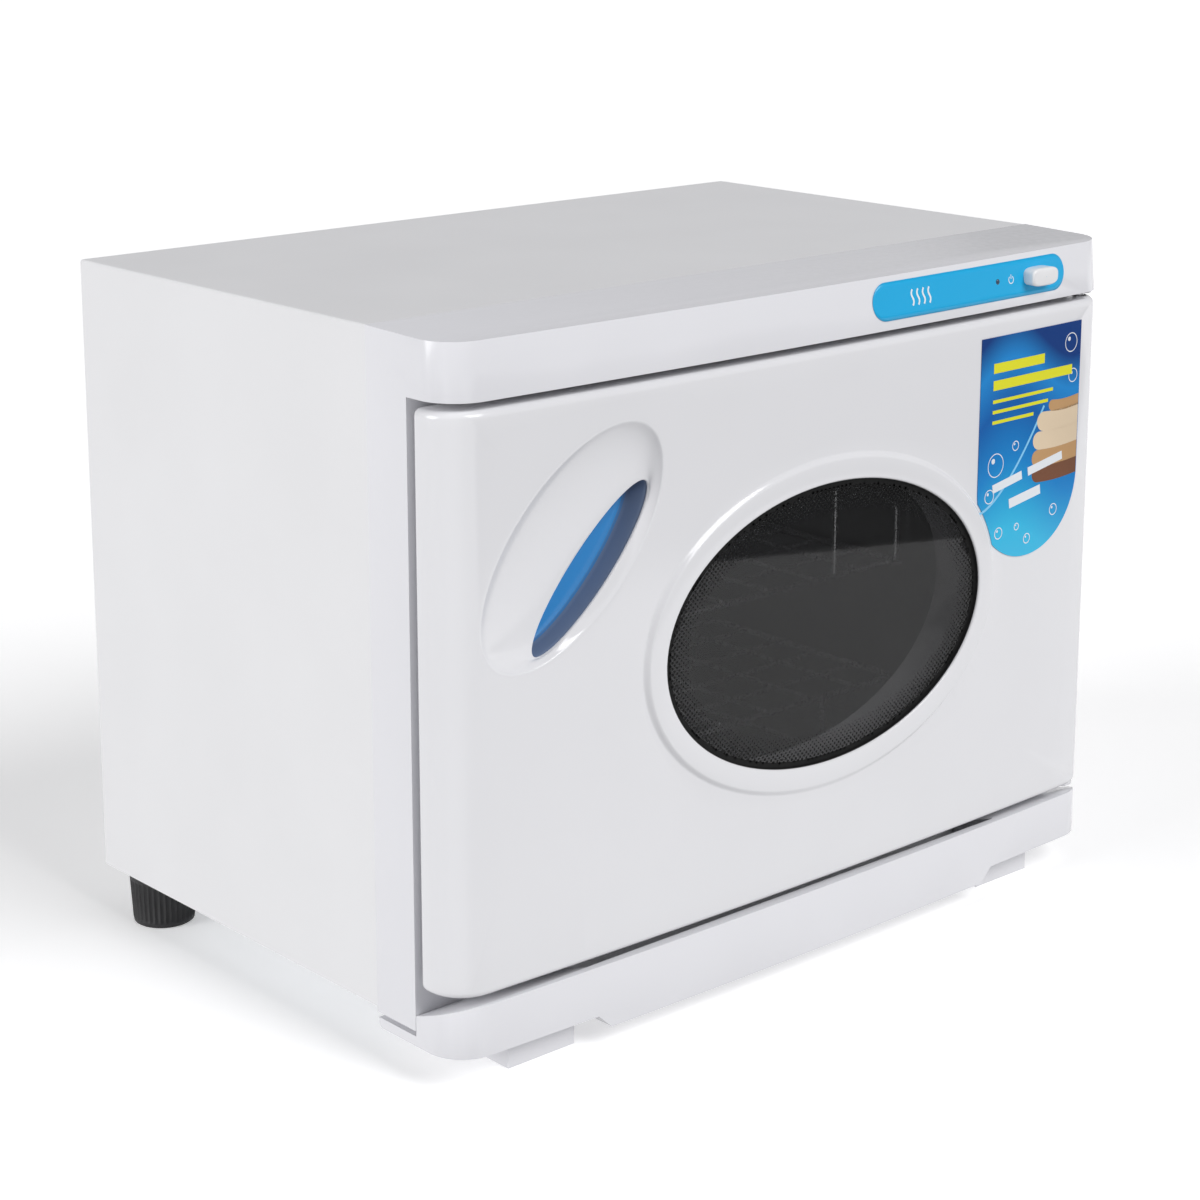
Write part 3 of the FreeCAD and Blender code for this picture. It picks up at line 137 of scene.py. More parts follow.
def softened_copy(name, source, width, steps, move=None):
    """Merged copy of a CAD node's mesh with every sharp edge rounded to the given width.

    Coplanar faces are joined first. `move`, if given, maps the array of points to new ones.
    """
    mesh = nodes[source].data.copy()
    mesh.name = name
    work = bmesh.new()
    work.from_mesh(mesh)
    bmesh.ops.remove_doubles(work, verts=work.verts, dist=1e-6)
    bmesh.ops.dissolve_limit(work, angle_limit=math.radians(0.3), verts=work.verts, edges=work.edges)
    work.to_mesh(mesh)
    work.free()
    if move is not None:
        points = np.empty(len(mesh.vertices) * 3)
        mesh.vertices.foreach_get("co", points)
        mesh.vertices.foreach_set("co", move(points.reshape(-1, 3)).ravel())
    piece = bpy.data.objects.new(name, mesh)
    bpy.context.scene.collection.objects.link(piece)
    mesh.shade_smooth()
    bevel = piece.modifiers.new("softened_edges", "BEVEL")
    bevel.width = width
    bevel.segments = steps
    bevel.limit_method = "ANGLE"
    bevel.angle_limit = math.radians(28)
    bevel.harden_normals = True
    return piece


def settle(piece, body, slot_name, material, *replaced):
    """Give a piece its material and its body, and hide the CAD nodes that it stands for. slot_name is not
    used.
    """
    piece.data.materials.clear()
    piece.data.materials.append(material)
    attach(piece, body)
    if replaced:
        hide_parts(*replaced)
    return piece


frame_low, frame_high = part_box("front_frame")
door_low, door_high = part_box("door_outer_panel")
half_width = frame_high.x
seam_y = frame_high.y
crown_y = frame_low.y
door_gap = 0.004
door_back_gap = 0.003
header_low = door_high.z + door_gap
stile_y = door_high.y + door_back_gap
header_lean = 0.0035
header_droop = 0.0016


def lean_header(points):
    """The header's top moves back by the lean and down by the droop, both growing upwards.

    share = how far the point lies from the seam to the crown, ahead = how far from the stile to the
    crown, and rise = how far up the header; each runs from 0 to 1.
    """
    share = np.clip((seam_y - points[:, 1]) / (seam_y - crown_y), 0, 1)
    rise = np.clip((points[:, 2] - header_low) / (frame_high.z - header_low), 0, 1)
    ahead = np.clip((stile_y - points[:, 1]) / (stile_y - crown_y), 0, 1)
    moved = points.copy()
    moved[:, 1] += header_lean * rise * ahead
    moved[:, 2] -= header_droop * rise * share
    return moved


front_frame = softened_copy("front_frame_moulding", "front_frame", width=0.0009, steps=3, move=lean_header)
settle(front_frame, "cabinet", "white_moulding", white_moulding, "front_frame")


# ==== Screws ===================================================================================
# Plated pan-head screws with a cross recess. Eight hold the back cover, four hold the feet from
# inside, two hold the upper hinge plate and one the lower.

bright_steel = worked_finish("bright_steel", (0.66, 0.66, 0.68), 0.05, (0.22, 0.38), 700, 0.00002,
                             metal=1.0)


def full_turn(steps):
    """Evenly spaced angles round a full circle, without the last one that repeats the first."""
    return np.linspace(0, 2 * math.pi, steps, endpoint=False)


def grid_faces(rows, columns, wrap, first):
    """Quads over a grid of rows and columns of points, counted from the first index."""
    across = columns if wrap else columns - 1
    row, column = np.meshgrid(np.arange(rows - 1), np.arange(across), indexing="ij")
    following = (column + 1) % columns
    corners = [row * columns + column, row * columns + following,
               (row + 1) * columns + following, (row + 1) * columns + column]
    return (np.stack(corners, -1).reshape(-1, 4) + first).tolist()


def skin(name, grids, loops=(), inside=None, sharp=35, merge=1e-6):
    """Mesh object from grids of points and flat loops, merged where they meet.

    Each grid is (points[rows, columns, 3], wrap), and each loop is a flat closed outline. Faces are
    turned to point away from the point `inside`, when one is given.
    """
    points, faces, first = [], [], 0
    for grid, wrap in grids:
        rows, columns = grid.shape[:2]
        faces += grid_faces(rows, columns, wrap, first)
        points.append(grid.reshape(-1, 3))
        first += rows * columns
    for loop in loops:
        faces.append(list(range(first, first + len(loop))))
        points.append(loop)
        first += len(loop)
    mesh = bpy.data.meshes.new(name)
    mesh.from_pydata(np.concatenate(points).tolist(), [], faces)
    work = bmesh.new()
    work.from_mesh(mesh)
    bmesh.ops.remove_doubles(work, verts=work.verts, dist=merge)
    bmesh.ops.dissolve_degenerate(work, edges=work.edges, dist=merge)
    bmesh.ops.recalc_face_normals(work, faces=work.faces)
    if inside is not None:
        centre = Vector(inside)
        outward = sum(face.normal.dot(face.calc_center_median() - centre) * face.calc_area()
                      for face in work.faces)
        if outward < 0:
            bmesh.ops.reverse_faces(work, faces=work.faces)
    work.to_mesh(mesh)
    work.free()
    mesh.shade_smooth()
    mesh.set_sharp_from_angle(angle=math.radians(sharp))
    piece = bpy.data.objects.new(name, mesh)
    bpy.context.scene.collection.objects.link(piece)
    return piece


def turned_rows(profile, steps, place, axis_out, axis_side):
    """Profile turned about an axis: each profile point is (distance from the axis, height along it)."""
    out = np.array(axis_out, float)
    side = np.array(axis_side, float)
    third = np.cross(out, side)
    angle = full_turn(steps)
    ring = np.cos(angle)[:, None] * side + np.sin(angle)[:, None] * third
    rows = [np.array(place) + out * height + ring * max(radius, 1e-7) for radius, height in profile]
    return np.array(rows)


head_radius = 0.0032
head_tall = 0.0015
shank_radius = 0.0016


def screw_head_rows(place, axis, side):
    """Domed head less a cross recess: each arm has a width and a reach, as shares of the radius."""
    steps = 32
    arm_width = 0.22
    arm_reach = 0.62
    recess_depth = 0.0011
    profile = [(head_radius * span, head_tall * (1 - 0.45 * span ** 2))
               for span in np.linspace(0.02, 1, 14)]
    profile += [(head_radius, 0.0004), (head_radius, 0.0)]
    rows = turned_rows(profile, steps, place, axis, side)
    share = np.array([radius / head_radius for radius, height in profile])
    arm = np.abs(np.sin(2 * full_turn(steps)))[None, :] * share[:, None]
    recess = np.clip(1 - arm / arm_width, 0, 1) * np.clip(1 - share / arm_reach, 0, 1)[:, None] ** 0.5
    return rows - np.array(axis)[None, None, :] * (recess * recess_depth)[..., None]


def screw_piece(name, source, places, axis, side):
    """One mesh of like screws: a recessed head and a plain shank for each place."""
    shank = [(shank_radius, 0.0), (shank_radius, -0.0042), (shank_radius / 2, -0.005)]
    grids = []
    for place in places:
        grids.append((screw_head_rows(place, axis, side), True))
        grids.append((turned_rows(shank, 16, place, axis, side), True))
    piece = skin(name, grids)
    return settle(piece, "cabinet", "steel_parts", bright_steel, source)


def spaced(low, high, count):
    """Evenly spaced places, both ends included."""
    return np.linspace(low, high, count).tolist()


screws_low, screws_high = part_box("cover_screws")
cover_levels = spaced(screws_low.z + head_radius, screws_high.z - head_radius, 4)
cover_places = [(side * (screws_high.x - head_radius), screws_high.y - head_tall, level)
                for side in (-1, 1) for level in cover_levels]
screw_piece("back_cover_screws", "cover_screws", cover_places, (0, 1, 0), (1, 0, 0))
for source in ("foot_screws", "upper_hinge_screws", "lower_hinge_screw"):
    give(source, bright_steel)


# ==== Heated chamber ===========================================================================
# A box folded from mill-finish aluminium, brushed along its width, with two strips that carry the
# upper rack. Glass wool wraps it, and a silicone heating mat lies under its floor.

aluminium = worked_finish("mill_aluminium", (0.74, 0.75, 0.76), 0.06, (0.26, 0.42), 60, 0.00003,
                          stretch=(1, 14, 14), metal=1.0)
glass_wool = worked_finish("glass_wool", (0.78, 0.66, 0.30), 0.35, (0.85, 1.0), 420, 0.0012)
heating_mat = worked_finish("heating_mat", (0.50, 0.12, 0.05), 0.10, (0.55, 0.7), 800, 0.0001)
switch_plastic = worked_finish("switch_plastic", (0.02, 0.02, 0.022), 0.2, (0.38, 0.5), 600, 0.00005)
rubber = worked_finish("black_rubber", (0.014, 0.014, 0.015), 0.3, (0.50, 0.66), 900, 0.00008)
for source in ("inner_liner", "rack_rails"):
    give(source, aluminium)
give("insulation_jacket", glass_wool)
give("heater_plate", heating_mat)
for source in ("terminal_block", "switch_body", "magnet_catch"):
    give(source, switch_plastic)
for source in ("switch_lead", "heater_lead", "cord_grommet", "window_gasket"):
    give(source, rubber)
for source in ("thermostat", "strike_plate", "upper_hinge_plate", "lower_hinge_plate", "hinge_pins"):
    give(source, bright_steel)
for source in ("thermal_fuse", "hinge_bushes", "window_sleeve"):
    give(source, white_moulding)


# ==== Wire racks ===============================================================================
# Two shelves of chrome-plated steel wire, bent and spot-welded. The upper one rests on the rails
# and has side rims and a front guard; the lower one stands on wire legs.

chrome = worked_finish("chrome_wire", (0.90, 0.91, 0.92), 0.03, (0.22, 0.34), 500, 0.00001, metal=1.0)


def bent_line(corners, bend, steps=6):
    """Line through the corners, each rounded by a curve that starts and ends `bend` before it.

    Curve: (1 - t)^2 a + 2 t (1 - t) corner + t^2 b.
    """
    corners = np.array(corners, float)
    share = np.linspace(0, 1, steps)[:, None]
    line = [corners[:1]]
    for before, corner, after in zip(corners[:-2], corners[1:-1], corners[2:]):
        start = corner + (before - corner) * bend / np.linalg.norm(before - corner)
        end = corner + (after - corner) * bend / np.linalg.norm(after - corner)
        line.append((1 - share) ** 2 * start + 2 * share * (1 - share) * corner + share ** 2 * end)
    line.append(corners[-1:])
    return np.concatenate(line)


def wire_rows(line, radius, sides=10):
    """Round tube along a line, closed by a small dome at each end.

    Each ring is centre + radius * (cos a * side + sin a * up), square to the line. A dome is a list of
    (share of the radius, reach past the line's end as a share of the radius).
    """
    along = np.gradient(line, axis=0)
    along /= np.linalg.norm(along, axis=1)[:, None]
    lead = np.abs(along).mean(0)
    guide = np.eye(3)[int(np.argmin(lead))]
    side = np.cross(along, guide)
    side /= np.linalg.norm(side, axis=1)[:, None]
    up = np.cross(side, along)
    dome = [(0.02, 0.35), (0.6, 0.25), (1.0, 0.0)]
    dome_sizes = [size for size, reach in dome]
    sizes = dome_sizes + [1.0] * (len(line) - 2) + dome_sizes[::-1]
    centres = np.concatenate([
        [line[0] - along[0] * radius * reach for size, reach in dome], line[1:-1],
        [line[-1] + along[-1] * radius * reach for size, reach in dome[::-1]],
    ])
    pick = np.array([0, 0] + list(range(len(line))) + [len(line) - 1] * 2)
    angle = full_turn(sides)
    spread = (np.cos(angle)[None, :, None] * side[pick][:, None, :]
              + np.sin(angle)[None, :, None] * up[pick][:, None, :])
    return centres[:, None, :] + spread * (radius * np.array(sizes))[:, None, None]


upper_low, upper_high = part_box("upper_rack")
lower_low, lower_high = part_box("lower_rack")
frame_wire = 0.00175
cross_wire = 0.00125
guard_wire = 0.0015
leg_wire = 0.0016
rim_rise = 0.035
guard_side = 0.050
guard_hook = 0.010
leg_side = 0.057
rack_half = upper_high.x - frame_wire
rack_front = upper_low.y + frame_wire
rack_back = upper_high.y - frame_wire


def shelf_wires(level):
    """Border and cross wires of one shelf: lines with their radii."""
    bend = 0.009
    cross_level = level + 0.002
    middle = (rack_front + rack_back) / 2
    wires = []
    for side, end in ((1, rack_front), (-1, rack_back)):
        edge = side * rack_half
        corners = [(-edge, middle, level), (-edge, end, level), (edge, end, level), (edge, middle, level)]
        wires.append((bent_line(corners, bend), frame_wire))
    for place in spaced(rack_front, rack_back, 6)[1:-1]:
        line = [(x, place, level) for x in (-rack_half, 0, rack_half)]
        wires.append((np.array(line), cross_wire))
    for place in spaced(-rack_half, rack_half, 11)[1:-1]:
        line = [(place, y, cross_level) for y in (rack_front, middle, rack_back)]
        wires.append((np.array(line), cross_wire))
    return wires


def side_wire(x, level, turned_to, bend, radius):
    """Wire along one side that runs up or down to another level and back at both ends."""
    corners = [(x, rack_front, level), (x, rack_front, turned_to),
               (x, rack_back, turned_to), (x, rack_back, level)]
    return bent_line(corners, bend), radius


def guard_post(side, level, top):
    """Front post of the upper rack, hooked inwards at its top."""
    x = side * (rack_half - guard_side)
    corners = [(x - side * guard_hook, rack_front, top), (x, rack_front, top), (x, rack_front, level)]
    return bent_line(corners, 0.004), guard_wire


def wire_rack(name, wires, source):
    """One rack from its wires."""
    piece = skin(name, [(wire_rows(line, radius), True) for line, radius in wires])
    settle(piece, "cabinet", "chrome_wire", chrome, source)


upper_level = upper_low.z + frame_wire
lower_level = lower_high.z - frame_wire
upper_wires = shelf_wires(upper_level)
lower_wires = shelf_wires(lower_level)
for side in (-1, 1):
    upper_wires.append(side_wire(side * rack_half, upper_level, upper_level + rim_rise, 0.008, frame_wire))
    upper_wires.append(guard_post(side, upper_level, upper_high.z - guard_wire))
    lower_wires.append(side_wire(side * (rack_half - leg_side), lower_level, lower_low.z + leg_wire, 0.006,
                                 leg_wire))
wire_rack("upper_wire_rack", upper_wires, "upper_rack")
wire_rack("lower_wire_rack", lower_wires, "lower_rack")


# ==== Door skin with its window ring and finger dish ===========================================
# One glossy white moulding: a shallow bowed face with rounded edges, a raised oval ring round the
# window, and an oval dish scooped towards a slanted slot for the fingers.

door_white = worked_finish("door_white", (0.80, 0.80, 0.82), 0.008, (0.10, 0.16), 180, 0.00002)

face_bow = 0.005
corner_radius = 0.020
heel_radius = 0.004
edge_radius = 0.0035
side_steps = 60
flat_half = half_width - corner_radius
touch_lean = math.atan(2 * face_bow * flat_half / half_width ** 2)
touch_x = flat_half + corner_radius * math.sin(touch_lean)
arc_y = crown_y + face_bow * (touch_x / half_width) ** 2 + corner_radius * math.cos(touch_lean)
reach_x = 0.2140  # the face's patches end here, part of the way round each corner's arc


def bow(x):
    """Depth of the face: bow * (x / half width)^2 behind its crown, then the corner's arc."""
    out = np.abs(np.asarray(x, float))
    arc = arc_y - np.sqrt(np.clip(corner_radius ** 2 - (out - flat_half) ** 2, 0, None))
    return np.where(out <= touch_x, crown_y + face_bow * (out / half_width) ** 2, arc)


def bowed_outline(front_x, back, heel):
    """Plan of the bowed front, from the left heel round to the right one.

    Gives the points, their outward normals and how many belong to each side. Each front corner is an
    arc that touches the bow and the side, and each back corner, or heel, is a small arc inwards.
    """
    sweep = np.linspace(math.acos((reach_x - flat_half) / corner_radius), 0, 12)
    turn = np.stack([np.cos(sweep), -np.sin(sweep)], 1)
    corner = np.array([flat_half, arc_y]) + corner_radius * turn
    side_y = np.linspace(arc_y, back - heel, 6)[1:-1]
    side = np.stack([np.full(len(side_y), half_width), side_y], 1)
    hook = np.linspace(0, math.pi / 2, 6)
    heel_turn = np.stack([np.cos(hook), np.sin(hook)], 1)
    heels = np.array([half_width - heel, back - heel]) + heel * heel_turn
    right = np.concatenate([corner, side, heels])
    right_normals = np.concatenate([turn, np.tile([1.0, 0.0], (len(side), 1)), heel_turn])
    mirror = np.array([-1.0, 1.0])
    inner_x = np.asarray(front_x)[1:-1]
    slope = 2 * face_bow * inner_x / half_width ** 2
    lean = np.clip(np.abs(inner_x) - flat_half, 0, corner_radius * 0.999) / corner_radius
    steep = np.where(np.abs(inner_x) <= touch_x, slope, np.sign(inner_x) * lean / np.sqrt(1 - lean ** 2))
    front_normals = np.stack([steep, -np.ones_like(steep)], 1) / np.sqrt(1 + steep ** 2)[:, None]
    front = np.stack([inner_x, bow(inner_x)], 1)
    points = np.concatenate([right[::-1] * mirror, front, right])
    normals = np.concatenate([right_normals[::-1] * mirror, front_normals, right_normals])
    return points, normals, len(right)


def edge_rows(points, normals, rows):
    """Outline carried up through (inset, height) rows: point - normal * inset at each height."""
    inset = np.array([row[0] for row in rows])[:, None, None]
    level = np.array([row[1] for row in rows])
    flat = points[None] - normals[None] * inset
    high = np.broadcast_to(level[:, None, None], (len(rows), len(points), 1))
    return np.concatenate([flat, high], 2)


def quarter(radius, level, up):
    """Rows of a rounded edge that ends at a level: inset r(1 - cos a), height r(1 - sin a) from it."""
    return [(radius * (1 - math.cos(a)), level - up * radius * (1 - math.sin(a)))
            for a in np.linspace(0, math.pi / 2, 7)]


def split_columns(split_x, left_steps, right_steps):
    """Places across the face from side to side, with one of them on the split line."""
    left = np.linspace(-reach_x, split_x, left_steps + 1)
    right = np.linspace(split_x, reach_x, right_steps + 1)
    return np.concatenate([left, right[1:]])


# A slanted split line parts the face into the handle's patch and the window's patch.
face_low = door_low.z + edge_radius
face_high = door_high.z - edge_radius
split_low = (-0.150, face_low)
split_high = (-0.088, face_high)
handle_top_steps = 30
handle_low_steps = 14
window_top_steps = 60
window_low_steps = 70
top_x = split_columns(split_high[0], handle_top_steps, window_top_steps)
low_x = split_columns(split_low[0], handle_low_steps, window_low_steps)
top_points, top_normals, side_count = bowed_outline(top_x, door_high.y, heel_radius)
low_points, low_normals = bowed_outline(low_x, door_high.y, heel_radius)[:2]
top_edge = edge_rows(top_points, top_normals, quarter(edge_radius, door_high.z, 1))
low_edge = edge_rows(low_points, low_normals, quarter(edge_radius, door_low.z, -1))
side_rows = [(0.0, level) for level in np.linspace(face_low, face_high, side_steps + 1)]
left_side = edge_rows(top_points[:side_count], top_normals[:side_count], side_rows)
right_side = edge_rows(top_points[-side_count:], top_normals[-side_count:], side_rows)


def oval(centre, semi, angle, turn):
    """Ellipse in the door's plane: centre + major cos t along it + minor sin t across it."""
    along = np.array([math.cos(angle), math.sin(angle)])
    across = np.array([-math.sin(angle), math.cos(angle)])
    return (np.array(centre) + semi[0] * np.cos(turn)[:, None] * along
            + semi[1] * np.sin(turn)[:, None] * across)


def border(corners, counts):
    """Points round a polygon, with a chosen number of steps on each side."""
    sides = []
    for number, count in enumerate(counts):
        start = np.array(corners[number])
        end = np.array(corners[(number + 1) % len(corners)])
        sides.append(start + (end - start) * np.linspace(0, 1, count, endpoint=False)[:, None])
    return np.concatenate(sides)


def oval_turn(points, centre, semi, angle):
    """The ellipse parameter that faces each point from the centre."""
    away = points - np.array(centre)
    along = away @ np.array([math.cos(angle), math.sin(angle)])
    across = away @ np.array([-math.sin(angle), math.cos(angle)])
    return np.arctan2(across / semi[1], along / semi[0])


def at_depth(flat, depth):
    """Points in the door's plane (x, z) placed at a depth y."""
    return np.stack([flat[:, 0], np.broadcast_to(depth, len(flat)), flat[:, 1]], 1)


def spread_to_border(last, edge):
    """Rows from the last ring out to the border, on the bowed face."""
    rows = []
    for share in (0.12, 0.3, 0.55, 0.8, 1.0):
        flat = last * (1 - share) + edge * share
        rows.append(at_depth(flat, bow(flat[:, 0])))
    return rows


glass_low, glass_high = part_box("window_glass")
glass_bite = 0.0017
window_centre = ((glass_low.x + glass_high.x) / 2, (glass_low.z + glass_high.z) / 2)
window_semi = ((glass_high.x - glass_low.x) / 2 - glass_bite,
               (glass_high.z - glass_low.z) / 2 - glass_bite)
ring_front = door_low.y
ring_width = 0.014

window_border = border([split_low, (reach_x, face_low), (reach_x, face_high), split_high],
                       [window_low_steps, side_steps, window_top_steps, side_steps])
window_turn = oval_turn(window_border, window_centre, window_semi, 0)


def window_ring(out, depth):
    """The window's ellipse grown by `out`, at a depth."""
    flat = oval(window_centre, (window_semi[0] + out, window_semi[1] + out), 0, window_turn)
    return flat, at_depth(flat, depth)


def ring_rows():
    """The raised ring from the glass outwards: a rounded lip, a flat top and an eased outer slope."""
    lips = ((0.0004, 0.0017), (0.0002, 0.0010), (0.0003, 0.0005), (0.0008, 0.0001), (0.0015, 0.0),
            (0.0060, 0.0))
    slope_width = 0.0034
    rows = [window_ring(out, ring_front + drop)[1] for out, drop in lips]
    for share in np.linspace(0, 1, 9):
        flat, raised = window_ring(ring_width - slope_width * (1 - share), ring_front)
        ease = share ** 2 * (3 - 2 * share)
        raised[:, 1] = ring_front * (1 - ease) + bow(flat[:, 0]) * ease
        rows.append(raised)
    return rows, flat


window_rows, window_outer = ring_rows()
window_rows += spread_to_border(window_outer, window_border)

dish_centre = (-0.1555, 0.2483)
dish_semi = (0.0664, 0.0348)
dish_angle = math.radians(45)
slot_centre = (-0.1405, 0.2347)
slot_semi = (0.049, 0.0080)
slot_angle = math.radians(47)
dish_border = border([(-reach_x, face_low), split_low, split_high, (-reach_x, face_high)],
                     [handle_low_steps, side_steps, handle_top_steps, side_steps])
dish_turn = oval_turn(dish_border, dish_centre, dish_semi, dish_angle)
dish_depth = 0.0105
lip_shallow = 0.0007


def lip_depth(turn):
    """Depth of the slot's lip behind the face: shallow at its lower right, deep at its upper left."""
    rise = (1 + np.sin(turn)) / 2
    return lip_shallow + (dish_depth - lip_shallow) * rise ** 0.9


slot_depth = lip_depth(dish_turn)


def scoop(share):
    """Dish depth as a share of the slot's: a sphere's cap, 1 at the slot and 0 at the dish's edge."""
    steep = 0.9
    rim = math.sqrt(1 - steep ** 2)
    return (math.sqrt(1 - (steep * share) ** 2) - rim) / (1 - rim)


def dish_rows():
    """From the slot's lip outwards: a rounded lip, the scooped dish and its softened edge."""
    slot = oval(slot_centre, slot_semi, slot_angle, dish_turn)
    outer = oval(dish_centre, dish_semi, dish_angle, dish_turn)
    lips = ((-0.0002, 0.0016), (-0.0004, 0.0009), (-0.0003, 0.0004), (0.0, 0.0001))
    rows = []
    for grow, drop in lips:
        flat = oval(slot_centre, (slot_semi[0] + grow, slot_semi[1] + grow), slot_angle, dish_turn)
        rows.append(at_depth(flat, bow(flat[:, 0]) + slot_depth + drop))
    for share in (0.03, 0.1, 0.2, 0.32, 0.45, 0.58, 0.7, 0.8, 0.88, 0.94, 0.98):
        flat = slot * (1 - share) + outer * share
        rows.append(at_depth(flat, bow(flat[:, 0]) + slot_depth * scoop(share) + 0.0002))
    for grow, drop in ((0.0002, 0.00016), (0.0007, 0.00004), (0.0013, 0.0)):
        flat = oval(dish_centre, (dish_semi[0] + grow, dish_semi[1] + grow), dish_angle, dish_turn)
        rows.append(at_depth(flat, bow(flat[:, 0]) + drop))
    return rows, flat


handle_rows, dish_outer = dish_rows()
handle_rows += spread_to_border(dish_outer, dish_border)


def back_lip(edge_grid):
    """Straight rows along the door's back edge, from the right heel to the left one."""
    return edge_grid[:, [-1, 0]]


door_skin = skin(
    "door_moulded_skin",
    [(top_edge, False), (low_edge, False), (left_side, False), (right_side, False),
     (np.array(window_rows), True), (np.array(handle_rows), True),
     (back_lip(top_edge), False), (back_lip(low_edge), False)],
    loops=[top_edge[-1], low_edge[-1]],
    inside=(0, door_high.y + 0.3, 0.18), sharp=50, merge=3e-6)
settle(door_skin, "door", "door_moulding", door_white, "door_outer_panel", "handle_dish")


# ==== Finger cup ===============================================================================
# A blue plastic cup clipped behind the slot. Its wall narrows a little towards the floor, and the
# floor deepens towards the upper left, where the fingertips hook under the dish.

cup_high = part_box("handle_cup")[1]
cup_floor = cup_high.y - 0.0015  # ahead of the CAD cup's back by the cup's own wall
cup_shallow = crown_y + 0.0170


def cup_rows():
    """Wall rows from the slot back to the floor, then the floor closed to its long axis."""
    grow = 0.0006
    tuck = 0.0008
    taper = 0.0008
    floor_round = 0.0010
    undercut = 0.0060
    wall_turn = full_turn(128)
    rise = (1 + np.sin(wall_turn)) / 2
    start = lip_depth(wall_turn) + tuck
    floor = cup_shallow + (cup_floor - cup_shallow) * rise
    rows = []
    for share in (0.0, 0.25, 0.5, 0.75, 0.92, 0.98, 1.0):
        inset = taper * share + floor_round * max(0, share - 0.9) * 10
        semi = (slot_semi[0] + grow - inset, slot_semi[1] + grow - inset)
        flat = oval(slot_centre, semi, slot_angle, wall_turn)
        flat += np.outer(undercut * share * rise, [-math.sin(slot_angle), math.cos(slot_angle)])
        top = bow(flat[:, 0]) + start
        rows.append(at_depth(flat, top * (1 - share) + floor * share))
    edge = rows[-1]
    across = np.array([-math.sin(slot_angle), 0, math.cos(slot_angle)])
    for share in (0.3, 0.7, 1.0):
        centre = edge.mean(0)
        offset = (edge - centre) @ across
        rows.append(edge - np.outer(offset * share, across) - np.array([0, 1, 0])
                    * ((edge[:, 1] - centre[1]) * share)[:, None])
    return np.array(rows)


def cup_blue_with_painted_shade():
    """Blue plastic with painted shade: faces turned sideways, such as the wall, get a greyed blue as
    painted shade, and faces square to the front, such as the floor, a clear bright blue.
    """
    material, tree, shader = start_finish("cup_blue")
    surface = tree.nodes.new("ShaderNodeNewGeometry")
    parts = tree.nodes.new("ShaderNodeSeparateXYZ")
    tree.links.new(surface.outputs["True Normal"], parts.inputs["Vector"])
    flip = tree.nodes.new("ShaderNodeMath")
    flip.operation = "ABSOLUTE"
    tree.links.new(parts.outputs["Y"], flip.inputs[0])
    # Painted shade: the greyed blue on sideways faces stands in for the shade on the cup's wall; the
    # bright blue is the plastic's own colour.
    blue = shade_between(tree, flip.outputs["Value"], (0.17, 0.23, 0.36), (0.0, 0.22, 0.58), 0.45, 0.7)
    tree.links.new(blue, shader.inputs["Base Color"])
    fine = grain(tree, 500)
    roughen(tree, shader, fine, 0.28, 0.38)
    emboss(tree, shader, fine, 0.00003)
    return material


finger_cup = skin("finger_cup", [(cup_rows(), True)],
                  inside=(slot_centre[0], crown_y + 0.008, slot_centre[1]), sharp=40)
cup_wall = finger_cup.modifiers.new("wall", "SOLIDIFY")
cup_wall.thickness = 0.0012
cup_wall.offset = 1
settle(finger_cup, "door", "blue_cup", cup_blue_with_painted_shade(), "handle_cup")


# ==== Window glass =============================================================================
# Smoked tempered glass. A black ceramic border is fired on its face: solid at the rim, then dots
# on a diagonal grid that shrink until they vanish.

def glass_rows():
    """Thin oval plate: the front face, a rounded rim and the back face, each closed at its middle."""
    turn = full_turn(160)
    grow = glass_bite - 0.0003
    front = [(share, 0.0) for share in (0.001, 0.3, 0.6, 0.8, 0.92, 0.99)]
    rim = [(1.0, 0.15), (1.0, 0.85)]
    back = [(share, 1.0) for share in (0.99, 0.6, 0.001)]
    rows = []
    for share, behind in front + rim + back:
        depth = glass_low.y + (glass_high.y - glass_low.y) * behind
        semi = ((window_semi[0] + grow) * share, (window_semi[1] + grow) * share)
        rows.append(at_depth(oval(window_centre, semi, 0, turn), depth))
    return np.array(rows)


def glass_finish():
    """Smoked glass: mostly clear, very smooth and nearly black in itself."""
    material, tree, shader = start_finish("smoked_glass")
    tone = shade_between(tree, grain(tree, 9, detail=1), (0.022, 0.022, 0.022), (0.028, 0.028, 0.029))
    tree.links.new(tone, shader.inputs["Base Color"])
    roughen(tree, shader, grain(tree, 60, detail=1), 0.010, 0.024)
    shader.inputs["Alpha"].default_value = 0.45
    return material


window_pane = skin("window_pane", [(glass_rows(), True)],
                   inside=(window_centre[0], glass_low.y + 0.002, window_centre[1]), sharp=30)
settle(window_pane, "door", "smoked_glass", glass_finish(), "window_glass")


